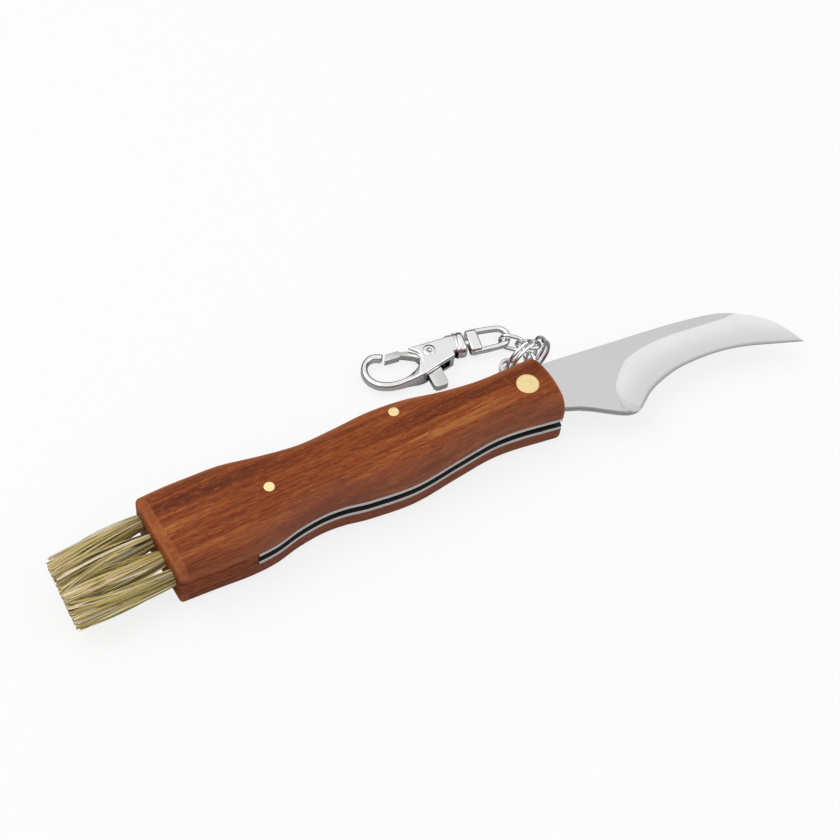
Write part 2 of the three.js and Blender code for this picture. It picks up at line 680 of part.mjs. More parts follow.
// The split ring's wire in its own plane: nearly two turns, with a short crossing between them.
function splitRing() {
  const ends = RING_END_TURN;
  const steps = Math.round(RING_TURN_STEPS * (2 - 2 * ends));
  const axis = new THREE.Vector3(0, 0, 1);
  const rings = [];
  const centres = [];
  for (let i = 0; i <= steps; i += 1) {
    const turn = ends + (2 - 2 * ends) * (i / steps);
    const angle = RING_END_ANGLE + 2 * Math.PI * turn;
    const outward = new THREE.Vector3(Math.cos(angle), Math.sin(angle), 0);
    const shift = THREE.MathUtils.smoothstep(turn, 1 - ends, 1 + ends) - 1 / 2;
    const centre = outward.clone()
      .multiplyScalar(RING_RADIUS)
      .addScaledVector(axis, shift * RING_PITCH);
    centres.push(centre);
    rings.push(section(centre, axis, outward, RING_WIRE_RADIUS, RING_WIRE_SIDES));
  }
  const gap = leastGap(centres, RING_TURN_STEPS, RING_WIRE_RADIUS);
  console.log(`split_ring: least gap to itself ${gap.toFixed(3)}`);
  return named('split_ring', loft(rings, false), 'nickel');
}

function ringBasis() {
  const along = new THREE.Vector3(Math.cos(RING_YAW), Math.sin(RING_YAW), 0);
  const up = new THREE.Vector3(0, 0, 1);
  return { along, up, axis: along.clone().cross(up) };
}

function ringCentre() {
  return new THREE.Vector3(LUG_REACH, lugHeight(), MIDDLE)
    .addScaledVector(ringBasis().along, RING_RADIUS);
}

function place(object, position, along, across, normal) {
  object.position.copy(position);
  object.quaternion.setFromRotationMatrix(new THREE.Matrix4().makeBasis(along, across, normal));
  return object;
}

// A link's wire round a slot-shaped path, in its own plane.
function linkGeometry() {
  const bend = LINK_WIDTH / 2;
  const straight = (LINK_LENGTH - LINK_WIDTH) / 2;
  const normal = new THREE.Vector3(0, 0, 1);
  const rings = [];
  for (const end of [1, -1]) {
    for (let i = 0; i <= LINK_BEND_STEPS; i += 1) {
      const angle = Math.PI * (i / LINK_BEND_STEPS - 1 / 2);
      const outward = new THREE.Vector3(end * Math.cos(angle), end * Math.sin(angle), 0);
      const centre = new THREE.Vector3(end * straight, 0, 0).addScaledVector(outward, bend);
      rings.push(section(centre, normal, outward, LINK_WIRE_RADIUS, LINK_WIRE_SIDES));
    }
  }
  return loft(rings, true);
}

// The links, each starting inside the one before it, and where the last one ends.
function chain() {
  const links = [];
  const { along, up } = ringBasis();
  const hang = ringCentre()
    .addScaledVector(along, RING_RADIUS * Math.cos(RING_LINK_ANGLE))
    .addScaledVector(up, RING_RADIUS * Math.sin(RING_LINK_ANGLE));
  let reach = RING_PITCH / 2 + RING_WIRE_RADIUS + LINK_WIRE_RADIUS + LINK_SLACK;
  let end = hang;
  linkTurns.forEach((turns, i) => {
    const yaw = THREE.MathUtils.degToRad(turns.heading);
    const rise = THREE.MathUtils.degToRad(turns.pitch);
    const turn = THREE.MathUtils.degToRad(turns.roll);
    const forward = new THREE.Vector3(Math.cos(yaw), Math.sin(yaw), 0)
      .multiplyScalar(Math.cos(rise))
      .addScaledVector(up, Math.sin(rise));
    const side = new THREE.Vector3(-Math.sin(yaw), Math.cos(yaw), 0);
    const across = side.clone()
      .multiplyScalar(Math.cos(turn))
      .addScaledVector(forward.clone().cross(side), Math.sin(turn));
    const normal = forward.clone().cross(across);
    const start = end.clone().addScaledVector(forward, -reach);
    const centre = start.clone().addScaledVector(forward, LINK_LENGTH / 2);
    const mesh = named(`chain_link_${i + 1}`, linkGeometry(), 'nickel');
    links.push(place(mesh, centre, forward, across, normal));
    end = start.clone().addScaledVector(forward, LINK_LENGTH);
    reach = 2 * LINK_WIRE_RADIUS + LINK_SLACK;
  });
  return { links, end };
}

function claspPoint([along, across]) {
  const reach = along < 0 ? CLASP_LENGTH : CLASP_SHANK;
  return new THREE.Vector2(along * reach, across * CLASP_WIDTH);
}

// The hook and its shank in one outline.
function hookShape() {
  const outer = hookOuterShares.map(claspPoint);
  const inner = hookInnerShares.map(claspPoint);
  const shape = new THREE.Shape();
  moveAlong(shape, [collarBottomShares, collarTopShares, throatTopShares].map(claspPoint));
  shape.lineTo(inner[inner.length - 1].x, inner[inner.length - 1].y);
  shape.splineThru([...inner].reverse().slice(1));
  shape.lineTo(outer[0].x, outer[0].y);
  shape.splineThru(outer.slice(1));
  return shape;
}

// The thicker shank, from the throat to the collar.
function shankShape() {
  const shape = new THREE.Shape();
  const throat = [...hookInnerShares].reverse().slice(0, THROAT_POINTS);
  const corner = hookOuterShares[hookOuterShares.length - 1];
  const points = [collarBottomShares, collarTopShares, throatTopShares, ...throat, corner];
  moveAlong(shape, points.map(claspPoint));
  return shape;
}

function moveAlong(shape, points) {
  shape.moveTo(points[0].x, points[0].y);
  for (const point of points.slice(1)) {
    shape.lineTo(point.x, point.y);
  }
}

function claspBody() {
  const half = CLASP_THICKNESS / 2;
  const hookHalf = HOOK_THICKNESS / 2;
  const collarStart = CLASP_SHANK - COLLAR_LENGTH;
  const neckStart = collarStart - NECK_LENGTH;
  const body = roundedPlate(
    hookShape(), -hookHalf, hookHalf, HOOK_ROUND, HOOK_ROUND_SEGMENTS, HOOK_SEGMENTS,
  )
    .add(roundedPlate(shankShape(), -half, half, SHANK_ROUND, SHANK_SEGMENTS, SHANK_SEGMENTS))
    .add(collarBand(collarStart, COLLAR_LENGTH, COLLAR_WIDTH, CLASP_THICKNESS, COLLAR_CORNER))
    .add(collarBand(neckStart, NECK_LENGTH, NECK_WIDTH, NECK_THICKNESS, NECK_CORNER))
    .subtract(leverSlot())
    .subtract(rivetHole())
    .subtract(rivetSeat(half, 1))
    .subtract(rivetSeat(half, -1))
    .subtract(swivelBar(SWIVEL_HEAD_RADIUS + SWIVEL_FIT, SLOT_END - SMALL_OVERRUN, SWIVEL_CAVITY_END))
    .subtract(swivelBar(SWIVEL_POST_RADIUS + SWIVEL_FIT, SLOT_END, CLASP_SHANK + SMALL_OVERRUN));
  return named('clasp_body', body, 'nickel');
}

// A round bar on the swivel's axis.
function swivelBar(radius, from, to) {
  return crossBar(COLLAR_MIDDLE, 0, radius, from, to, SWIVEL_SEGMENTS);
}

function rivetHole() {
  const reach = CLASP_THICKNESS / 2 + SMALL_OVERRUN;
  return bar(0, 0, RIVET_RADIUS + PIN_FIT, -reach, reach);
}

// The slot in the shank for the gate's root and the lever: open at the throat and at the thumb's side.
function leverSlot() {
  const left = claspPoint(throatTopShares);
  const right = claspPoint(collarTopShares);
  const slope = (right.y - left.y) / (right.x - left.x);
  const roofStart = left.y + slope * (-ROOF_REACH - left.x) - SLOT_ROOF;
  const roofEnd = left.y + slope * (SLOT_END - left.x) - SLOT_ROOF;
  const shape = new THREE.Shape();
  moveAlong(shape, [
    new THREE.Vector2(-OVERRUN, CLASP_WIDTH),
    new THREE.Vector2(-ROOF_REACH, CLASP_WIDTH),
    new THREE.Vector2(-ROOF_REACH, roofStart),
    new THREE.Vector2(SLOT_END, roofEnd),
    new THREE.Vector2(SLOT_END, -CLASP_WIDTH),
    new THREE.Vector2(-SLOT_BACK, -CLASP_WIDTH),
    new THREE.Vector2(-SLOT_BACK, -THROAT_FLOOR),
    new THREE.Vector2(-OVERRUN, -THROAT_FLOOR),
  ]);
  return plate(shape, -SLOT_THICKNESS / 2, SLOT_THICKNESS / 2);
}

// A band of the collar: a rounded block along the shank, centred on the swivel's axis.
function collarBand(start, length, width, thickness, corner) {
  const x = thickness / 2;
  const y = width / 2;
  const shape = new THREE.Shape();
  shape.moveTo(-x, -y + corner);
  shape.quadraticCurveTo(-x, -y, -x + corner, -y);
  shape.lineTo(x - corner, -y);
  shape.quadraticCurveTo(x, -y, x, -y + corner);
  shape.lineTo(x, y - corner);
  shape.quadraticCurveTo(x, y, x - corner, y);
  shape.lineTo(-x + corner, y);
  shape.quadraticCurveTo(-x, y, -x, y - corner);
  const geometry = new THREE.ExtrudeGeometry(shape, {
    depth: length,
    bevelEnabled: false,
    curveSegments: COLLAR_SEGMENTS,
  });
  return solid(geometry.rotateY(Math.PI / 2).translate(start, COLLAR_MIDDLE, 0));
}

function rivetSeat(half, side) {
  const inner = side * (half - RIVET_HEAD_HEIGHT - PIN_FIT);
  const outer = side * (half + SMALL_OVERRUN);
  const radius = RIVET_HEAD_RADIUS + PIN_FIT;
  return bar(0, 0, radius, Math.min(inner, outer), Math.max(inner, outer));
}

// The gate and the thumb lever, one piece turning on the rivet.
function gateLever() {
  const half = LEVER_THICKNESS / 2;
  const shape = new THREE.Shape();
  moveAlong(shape, [
    ...gateLowerShares.map(claspPoint),
    new THREE.Vector2(0, -HUB_RADIUS),
    new THREE.Vector2(0, HUB_RADIUS),
    ...gateUpperShares.map(claspPoint),
  ]);
  const body = plate(shape, -half, half)
    .add(bar(0, 0, HUB_RADIUS, -half, half))
    .add(plate(leverShape(), -half, half, LEVER_SEGMENTS).rotate([0, 0, LEVER_TILT]))
    .subtract(rivetHole());
  return named('gate_lever', body, 'nickel');
}

// The lever's outline, upright below the rivet: a root that widens to the thumb's pad.
function leverShape() {
  const back = LEVER_SIDE - LEVER_WIDTH;
  const shape = new THREE.Shape();
  shape.moveTo(LEVER_SIDE, 0);
  shape.lineTo(-LEVER_SIDE, 0);
  shape.lineTo(-LEVER_SIDE, -HUB_RADIUS);
  shape.lineTo(back, -LEVER_NECK);
  shape.lineTo(back, -LEVER_LENGTH + LEVER_CORNER);
  shape.quadraticCurveTo(back, -LEVER_LENGTH, back + LEVER_CORNER, -LEVER_LENGTH);
  shape.lineTo(LEVER_SIDE - LEVER_CORNER, -LEVER_LENGTH);
  shape.quadraticCurveTo(LEVER_SIDE, -LEVER_LENGTH, LEVER_SIDE, -LEVER_LENGTH + LEVER_CORNER);
  return shape;
}

function gateRivet() {
  const half = CLASP_THICKNESS / 2;
  const body = bar(0, 0, RIVET_RADIUS, -half, half)
    .add(bar(0, 0, RIVET_HEAD_RADIUS, -half, -half + RIVET_HEAD_HEIGHT))
    .add(bar(0, 0, RIVET_HEAD_RADIUS, half - RIVET_HEAD_HEIGHT, half));
  return named('gate_rivet', body, 'nickel');
}

function gateSpring() {
  const from = GATE_SPRING_START + GATE_SPRING_WIRE_RADIUS;
  const to = SLOT_END - GATE_SPRING_SEAT_GAP - GATE_SPRING_WIRE_RADIUS;
  const steps = CURL_STEPS * GATE_SPRING_TURNS;
  const axis = new THREE.Vector3(1, 0, 0);
  const rings = [];
  const centres = [];
  for (let i = 0; i <= steps; i += 1) {
    const angle = 2 * Math.PI * GATE_SPRING_TURNS * (i / steps);
    const outward = new THREE.Vector3(0, Math.cos(angle), Math.sin(angle));
    const reach = THREE.MathUtils.lerp(from, to, i / steps);
    const centre = new THREE.Vector3(reach, -GATE_SPRING_OFFSET, 0)
      .addScaledVector(outward, GATE_SPRING_RADIUS);
    centres.push(centre);
    rings.push(section(centre, axis, outward, GATE_SPRING_WIRE_RADIUS, CURL_SIDES));
  }
  const gap = leastGap(centres, CURL_STEPS, GATE_SPRING_WIRE_RADIUS);
  console.log(`gate_spring: least gap to itself ${gap.toFixed(3)}`);
  return named('gate_spring', loft(rings, false), 'steel');
}

// A long loop with a broad base, and the headed post that turns in the collar.
function swivelEye() {
  const tip = EYE_START + EYE_LENGTH;
  const halfBase = EYE_BASE_WIDTH / 2;
  const baseEnd = EYE_START + EYE_BASE_LENGTH;
  const bottom = COLLAR_MIDDLE - halfBase;
  const loop = eyeOutline(new THREE.Shape(), EYE_START, tip, EYE_WIDTH / 2, EYE_NOSE_RADIUS);
  loop.holes.push(eyeOutline(
    new THREE.Path(), baseEnd, tip - EYE_BAR, EYE_WIDTH / 2 - EYE_BAR, EYE_NOSE_RADIUS - EYE_BAR,
  ));
  const base = roundedPlate(
    rectangle(EYE_START, bottom, baseEnd, bottom + EYE_BASE_WIDTH),
    -EYE_BASE_THICKNESS / 2,
    EYE_BASE_THICKNESS / 2,
    EYE_ROUND,
    EYE_ROUND_SEGMENTS,
  );
  const headEnd = SWIVEL_CAVITY_END - SWIVEL_FIT;
  const headStart = headEnd - SWIVEL_HEAD_LENGTH;
  const half = EYE_THICKNESS / 2;
  const body = roundedPlate(loop, -half, half, EYE_ROUND, EYE_ROUND_SEGMENTS, EYE_SEGMENTS)
    .add(base)
    .add(swivelBar(SWIVEL_POST_RADIUS, headStart, EYE_START + EYE_ROUND))
    .add(swivelBar(SWIVEL_HEAD_RADIUS, headStart, headEnd));
  return named('swivel_eye', body, 'nickel');
}

// A loop with nearly straight arms that ends in a half circle.
function eyeOutline(path, from, to, half, nose) {
  path.moveTo(from, COLLAR_MIDDLE - half);
  path.quadraticCurveTo((from + to) / 2, COLLAR_MIDDLE - half, to - nose, COLLAR_MIDDLE - nose);
  path.absarc(to - nose, COLLAR_MIDDLE, nose, -Math.PI / 2, Math.PI / 2, false);
  path.quadraticCurveTo((from + to) / 2, COLLAR_MIDDLE + half, from, COLLAR_MIDDLE + half);
  path.lineTo(from, COLLAR_MIDDLE - half);
  return path;
}

// The snap hook lies flat beside the handle, with the last link through its eye.
function clasp(chainEnd) {
  const group = new THREE.Group();
  group.add(claspBody(), gateLever(), gateRivet(), gateSpring(), swivelEye());
  const along = new THREE.Vector3(Math.cos(CLASP_ANGLE), Math.sin(CLASP_ANGLE), 0);
  const across = new THREE.Vector3(-Math.sin(CLASP_ANGLE), Math.cos(CLASP_ANGLE), 0);
  const hang = EYE_START + EYE_LENGTH - EYE_BAR - LINK_SLACK - LINK_WIRE_RADIUS - EYE_HANG;
  const origin = new THREE.Vector3(chainEnd.x, chainEnd.y, CLASP_THICKNESS / 2)
    .addScaledVector(along, -hang)
    .addScaledVector(across, EYE_HANG_SIDE - COLLAR_MIDDLE);
  return place(group, origin, along, across, new THREE.Vector3(0, 0, 1));
}

function knife() {
  const group = new THREE.Group();
  const middlePin = handlePoint(middlePinShares);
  const buttPin = handlePoint(buttPinShares);
  group.add(
    scale('scale_top', CORE_HIGH, HANDLE_THICKNESS),
    scale('scale_bottom', 0, CORE_LOW),
    liner('liner_top', WELL_HIGH, CORE_HIGH),
    liner('liner_bottom', CORE_LOW, WELL_LOW),
    buttBlock(),
    backSpring(),
    blade(),
    pin('pivot_pin', 0, 0, PIVOT_RADIUS),
    pin('middle_pin', middlePin.x, middlePin.y, PIN_RADIUS),
    pin('butt_pin', buttPin.x, buttPin.y, PIN_RADIUS),
  );
  for (let i = 0; i < TUFT_COUNT; i += 1) {
    group.add(tuft(i));
  }
  const { along, up, axis } = ringBasis();
  group.add(place(splitRing(), ringCentre(), along, up, axis));
  const { links, end } = chain();
  group.add(...links, clasp(end));
  return group;
}

const group = knife();

export default group;
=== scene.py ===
"""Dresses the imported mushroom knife: smooth wood, ground steel, brass, nickel and straw.

Lengths in the tables and in the functions are in millimetres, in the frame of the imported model:
+X runs along the handle towards the blade's tip, +Y towards the back of the handle, +Z up through
the two scales. They become metres where a mesh is made.
"""

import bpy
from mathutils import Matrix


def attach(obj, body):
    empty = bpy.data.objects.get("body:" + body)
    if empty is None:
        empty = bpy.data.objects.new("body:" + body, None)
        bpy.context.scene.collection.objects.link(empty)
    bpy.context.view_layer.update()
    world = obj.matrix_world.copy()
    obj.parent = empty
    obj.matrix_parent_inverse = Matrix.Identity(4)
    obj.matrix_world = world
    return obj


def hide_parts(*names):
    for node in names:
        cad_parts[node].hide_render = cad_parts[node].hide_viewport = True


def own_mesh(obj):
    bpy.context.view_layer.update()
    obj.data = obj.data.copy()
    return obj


bl_info = {
    "name": "Mushroom knife",
    "version": (1, 0, 0),
    "blender": (4, 5, 0),
    "location": "View3D > Sidebar > Knife",
    "description": "A folding mushroom knife with a brush and a snap hook",
    "category": "Object",
}

import math

import bmesh
import bpy
import numpy as np
from bpy.props import FloatProperty, FloatVectorProperty, IntProperty, PointerProperty
from mathutils import Matrix

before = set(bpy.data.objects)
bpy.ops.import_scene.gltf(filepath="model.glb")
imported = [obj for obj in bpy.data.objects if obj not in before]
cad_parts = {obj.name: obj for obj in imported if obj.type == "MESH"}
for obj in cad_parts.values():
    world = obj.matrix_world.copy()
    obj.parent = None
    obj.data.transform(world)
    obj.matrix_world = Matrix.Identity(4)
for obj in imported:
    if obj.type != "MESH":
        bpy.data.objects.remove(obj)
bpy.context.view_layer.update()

MM = 0.001
TURN = 2 * math.pi

# Handle
HANDLE_REACH = 102.5
HANDLE_NOSE = 7
HANDLE_WIDTH = 24.4
HANDLE_THICKNESS = 17.5
MIDDLE = HANDLE_THICKNESS / 2
CORE_LOW, WELL_LOW, WELL_HIGH, CORE_HIGH = 6.45, 7.65, 9.85, 11.05
EDGE_ROUND = 3.4
BUTT_CHAMFER = 2.2
CHAMFER_BLEND = 0.18
END_ARRIS = 0.3
WELL_LENGTH = 82
BLOCK_END = -82.3
BACK_SHARES = [
    (1, 0.709), (0.927, 0.713), (0.859, 0.701), (0.78, 0.676), (0.683, 0.586), (0.585, 0.519),
    (0.488, 0.523), (0.39, 0.537), (0.293, 0.496), (0.195, 0.398), (0.098, 0.336), (0, 0.324),
]
BELLY_SHARES = [
    (0, -0.373), (0.078, -0.32), (0.146, -0.307), (0.244, -0.344), (0.371, -0.393), (0.488, -0.34),
    (0.556, -0.279), (0.615, -0.258), (0.683, -0.283), (0.751, -0.34), (0.82, -0.348),
    (0.907, -0.316), (1, -0.287),
]
NOSE_BACK = (0.83, 0.324)
NOSE_BELLY = (0.76, -0.41)
SPRING_SHARES = [
    (-0.02, 0.216), (0.105, 0.216), (0.135, 0.223), (0.166, 0.252), (0.2, 0.305), (0.225, 0.348),
    (0.243, 0.382), (0.272, 0.386), (0.29, 0.36), (0.307, 0.275), (0.338, 0.246), (0.372, 0.275),
    (0.44, 0.3), (0.54, 0.27), (0.62, 0.1), (0.68, 0.05), (0.796, 0.05),
]
SPRING_FRONT = 8.1
SPRING_TAIL = -81.6
SPRING_ROUND = 0.1
SPRING_SIDE_GAP = 0.02
LINER_ROUND = 0.08
PINS = {
    "pivot_pin": (0, 0, 3),
    "middle_pin": (-34.696, 8.701, 1.4),
    "butt_pin": (-72.673, 3.855, 1.4),
}
LUG_CENTRE = (2.1, 10.7)
LUG_HOLE = 1.85
LUG_OUTER = 2.65
LUG_FLARE = 1.25
LUG_ROUND = 0.12
LUG_INSET = 0.01
NOSE_LEAN_RUN = 12
END_RUN = 5
SHEAR_PASSES = 5
PIN_SIDES = 48
PIN_REACH_SHARES = np.concatenate([[0.02], np.linspace(0.2, 0.94, 6), [0.975, 0.995, 1, 1]])
PIN_DROP = np.concatenate([np.zeros(7), [0.01, 0.04, 0.09, 0.6]])
PIN_RIM_SHARE = 0.8

# Where a scale gets a painted highlight, or a painted sheen beside the belly: distances, then
# weights
HIGHLIGHT_BACK, HIGHLIGHT_BACK_PEAK, HIGHLIGHT_BACK_FROM, HIGHLIGHT_BELLY_SHARE = 3.6, 1.3, 3, 0.15
HIGHLIGHT_ARRIS_AT, HIGHLIGHT_ARRIS_WIDTH, HIGHLIGHT_CHAMFER_FADE, HIGHLIGHT_NOSE = 0.35, 0.45, 0.2, 1.2
HIGHLIGHT_WEIGHTS = {"back": 0.75, "chamfer": 0.6, "arris": 0.9, "nose": 0.6}
SHEEN_PEAK, SHEEN_WIDTH, SHEEN_FROM, SHEEN_RUN, SHEEN_LEAST = 0.75, 3.6, 8, 16, 0.3

# Blade
BLADE_REACH = 78
BLADE_WIDTH = 24
BLADE_HALF = 1
EDGE_HALF = 0.1
GRIND_HOLLOW = 0.12
TANG_ROUND = 5.4
SPINE_SHARES = [
    (0.108, 0.322), (0.154, 0.321), (0.256, 0.279), (0.385, 0.221), (0.513, 0.167), (0.641, 0.104),
    (0.778, 0.006), (0.859, -0.124), (0.933, -0.326), (0.975, -0.54), (1, -0.771),
]
EDGE_SHARES = [
    (0.285, -0.654), (0.309, -0.681), (0.336, -0.665), (0.364, -0.612), (0.404, -0.533),
    (0.455, -0.471), (0.538, -0.415), (0.628, -0.41), (0.727, -0.446), (0.812, -0.521),
    (0.897, -0.633), (1, -0.771),
]
GRIND_SHARES = [
    (0.272, -0.625), (0.282, -0.483), (0.3, -0.333), (0.326, -0.233), (0.362, -0.133),
    (0.408, -0.046), (0.5, 0), (0.603, -0.012), (0.699, -0.055), (0.795, -0.1), (0.87, -0.135),
    (1.01, -0.5),
]
HEEL_RUN = 7
GRIND_ROWS, GRIND_COLS = 190, 17
RULE_SAMPLES = 1500
TANG_ARC = (236, 106)
WELD = 0.0005
RICASSO_SHARES = [(0.256, -0.592), (0.192, -0.429), (0.154, -0.346), (0.106, -0.275)]

# Brush
TUFT_COUNT = 4
TUFT_FIRST = 14.6
TUFT_SPACING = 5.8
TUFT_RADIUS = 1.9
TUFT_HOLE_RADIUS = 2
TUFT_HOLE_SHOWN = 4
BRUSH_LENGTH = 25.2
BRUSH_SLANT = 0.06
BRUSH_STATIONS = (0, 0.45, 1)
BRUSH_SPACING = (1, 0.96, 0.75)
BRUSH_SWELL = (0.84, 1.42, 1.1)
BRUSH_LEAN = 0.58
BRUSH_HALF = 10.4
BRUSH_SEED = 40
TUFT_FILL_SHARE = 0.93
STRAND_STATIONS, STRAND_SIDES = 9, 5
STRAND_ROOT = 0.3
STRAND_STRAY, STRAY_POWER = 1.15, 1.4
WANDER_ACROSS, WANDER_UP = 0.9, 0.5
WANDER_PACES = (0.4, 1.5)
STRAND_WIDTH_SHARES, STRAND_FLAT_SHARES = (0.4, 1.7), (0.3, 0.7)
STRAND_TAPER_SHARE = 0.25
STRAND_SHADE, STRAND_SHADE_SPREAD, TIP_PALER = 0.47, 0.27, 0.16

# Split ring and chain
RING_RADIUS = 6.7
RING_WIRE = 0.5
RING_PITCH = 1.45
RING_YAW = math.radians(8.5)
RING_END_TURN = 0.055
RING_END_ANGLE = math.radians(75)
RING_LINK_ANGLE = math.radians(-65.3)
LINK_WIRE = 0.6
LINK_LENGTH = 6.2
LINK_WIDTH = 4
LINK_SLACK = 0.4
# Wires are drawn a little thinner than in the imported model, whose wires have flat sides.
RING_ROUND, RING_CORNER_SHARE, RING_POINTS = 0.47, 0.85, 180
LINK_ROUND, LINK_POINTS, LINK_SIDES = 0.55, 22, 16
LINK_TURNS = [(81.1, 17.2, 107.6), (32.4, -14, 46), (145.5, -3.1, 24.1), (136, 3.6, 106.7)]

# Snap hook, in its own frame: u along it towards the swivel, v across it, w up from the rivet
CLASP_ANGLE = math.radians(-14)
CLASP_HALF = 2.6
COLLAR_MIDDLE = 1.4
CLASP_HANG = (20.4, 0.4)
HOOK_RIBS = [
    (6.2, 3.36, 6.2, -3.13, 2.6, 0.5), (4.1, 3.1, 4.1, -3.96, 2.6, 0.5),
    (1.9, 2.84, 1.9, -4.85, 2.6, 0.5), (-0.8, 2.5, -0.8, -6.0, 2.6, 0.5),
    (-2.3, 0.8, -2.9, -6.98, 2.55, 0.55), (-2.78, -1.1, -4.6, -7.36, 2.4, 0.6),
    (-3.35, -2.9, -6.2, -7.58, 2.05, 0.7), (-4.9, -4.45, -7.8, -7.79, 1.7, 0.8),
    (-7.1, -5.65, -9.6, -8.08, 1.45, 0.85), (-9.5, -6.28, -11.2, -8.23, 1.3, 0.85),
    (-12.67, -6.28, -13.6, -8.06, 1.3, 0.85), (-15.36, -5.32, -16.4, -6.95, 1.3, 0.85),
    (-16.9, -3.52, -18.45, -4.7, 1.3, 0.85), (-17.2, -1.3, -19.15, -1.6, 1.3, 0.85),
    (-16.47, 0.74, -18, 1.5, 1.3, 0.85), (-14.88, 1.64, -15.3, 3.45, 1.3, 0.85),
    (-12.75, 1.1, -11.75, 2.96, 1.3, 0.85),
]
BEAK = [
    (-5.4, 2.05), (-0.9, 2.57), (-0.9, -0.6), (-2.6, -1.3), (-2.8, -0.46), (-3.26, 0.5),
]
LEVER_SLOT = [
    (-6, 12), (-2.3, 12), (-2.3, 1.91), (7.8, 3.04), (7.8, -2.2), (5, -2.2), (5, -12),
    (-2.6, -12), (-2.6, -2.3), (-6, -2.3),
]
SLOT_HALF = 1.3
HOOK_TIP_SHARES = (0.97, 0.88, 0.7)
# Blocks and bores on the swivel's axis: start, end, half sizes or radius, corner, edge
HOOK_BLOCKS = {
    "neck": (5.6, 8.2, 3, 2.4, 1.6, 0.25),
    "rim": (7.5, 8.5, 3.5, 2.55, 2.2, 0.35),
    "collar": (8.3, 10.4, 3.6, CLASP_HALF, 2.4, 0.75),
}
HOOK_BORES = {"cavity": (7.6, 9.2, 1.85), "bore": (8, 12, 1.3)}
SEAT_DEPTH, SEAT_GAP = 0.55, 0.12
LEVER_HALF = 1
GATE_LOWER = [(-12.13, 0.38), (-7.87, 0.74), (-7.68, 1.28), (-4.99, 0.26), (-2.5, -0.94)]
GATE_UPPER = [(-2.5, 0.6), (-5.18, 2.0), (-7.49, 2.36), (-7.68, 2.78), (-11.42, 2.48)]
LEVER_TILT = math.radians(8)
LEVER_SIDE, LEVER_WIDTH, LEVER_NECK, LEVER_LENGTH, LEVER_CORNER = 1.1, 4.1, 6, 10.8, 1.1
HUB_RADIUS = 1.6
RIVET_RADIUS = 0.95
RIVET_HEAD = 1.65
# Radius, drop below the face and painted shade of the rivet's rings, from the middle outwards
RIVET_RINGS = [
    (0.02, 0.35, 0.6), (0.35, 0.34, 0.6), (0.62, 0.2, 0.25), (0.74, 0.24, 0.7), (0.86, 0.05, 0),
    (1.2, 0, 0), (1.5, 0.03, 0), (1.62, 0.12, 0.15), (RIVET_HEAD, 0.3, 0.4),
    (RIVET_HEAD, 0.5, 0.6), (RIVET_RADIUS, 0.5, 0.6),
]
EDGE_SOFT, HUB_INSET = 0.3, 0.001
COIL = (2.1, 7.35, -1.3, 0.75, 0.15, 4)
COIL_STEPS, COIL_SIDES = 30, 10
EYE_START, EYE_TIP = 11.4, 23.5
EYE_HALF, EYE_NOSE, EYE_WIRE, EYE_HALF_THICKNESS, EYE_CORNER = 3.9, 3.6, 1.4, 0.9, 0.5
EYE_BASE = (EYE_START, EYE_START + 3.2, 3.6, 1.7, 1.2, 0.55)
EYE_RODS = {"post": (8.2, EYE_START + 0.4, 1), "head": (8.1, 8.9, 1.55)}

# Finishes: how often their textures repeat along X, Y and Z in a metre
STEEL_LINES = (60, 3500, 3500)
STEEL_CLOUD = (90, 90, 90)
COIL_LINES = (2000, 2000, 2000)
# What a darker shade keeps of its colour; the last is the painted shade in the rivet's hollows
DARKER_STEEL, DARKER_NICKEL, HOLLOW_PAINTED_SHADE = 0.82, 0.9, 0.1
# Where a finish, a painted shade or a painted reflection changes: Y in metres at the lug's foot,
# then millimetres over the blade's middle plane
LUG_FOOT = (0.0079, 0.0083)
GRIND_LINE = (0.975, 0.997)
GROUND_BLEND = (0.1, 0.85)
EDGE_SHADE_BAND = (0.105, 0.16)

# Stage
FLOOR_HALF, FLOOR_DROP = 3000, 0.05
FLOOR_CLOUD_SHARE = 0.985
FLOOR_GLOW_SHARE, FLOOR_DARK_SHARE = 0.8, 0.55
FLOOR_DARK = (0.1, 0.1, 0.1)
ROOM_TOP = (0.3, 0.66)
ROOM = (0.06, 0.06, 0.065)
LAMP_AIM = (-0.02, 0, 0.01)
LAMPS = {
    "key": ("Key lamp", 0.7, (-0.32, 0.25, 0.75)),
    "fill": ("Fill lamp", 0.5, (0.45, -0.35, 0.5)),
}
CAMERA_RIGHT = (0.85437, -0.51489, 0.07025)
CAMERA_UP = (0.38832, 0.72241, 0.57214)
CAMERA_BACK = (-0.34534, -0.46154, 0.81714)
CAMERA_PLACE = (-0.19157, -0.21235, 0.39936)


def srgb(code):
    """Linear red, green and blue of a colour written as 0xRRGGBB."""
    parts = [(code >> shift & 255) / 255 for shift in (16, 8, 0)]
    return tuple(p / 12.92 if p <= 0.04045 else ((p + 0.055) / 1.055) ** 2.4 for p in parts)


def tinted(colour, share):
    """The colour times a share."""
    return tuple(c * share for c in colour)


# Curves and rings of numbers


def spline(points, steps):
    """Curve through points: on each span the cubic whose slope at a point is half the chord
    between that point's neighbours. An array of len(points) - 1 spans times steps, and the end."""
    p = np.asarray(points, float)
    run = np.vstack([p[:1], p, p[-1:]])
    before, start, end, after = run[:-3], run[1:-2], run[2:-1], run[3:]
    t = np.linspace(0, 1, steps, endpoint=False)[:, None, None]
    leave, reach = (end - before) / 2, (after - start) / 2
    cubic = 2 * start - 2 * end + leave + reach
    square = -3 * start + 3 * end - 2 * leave - reach
    curve = ((cubic * t + square) * t + leave) * t + start
    return np.vstack([curve.transpose(1, 0, 2).reshape(-1, p.shape[1]), p[-1:]])


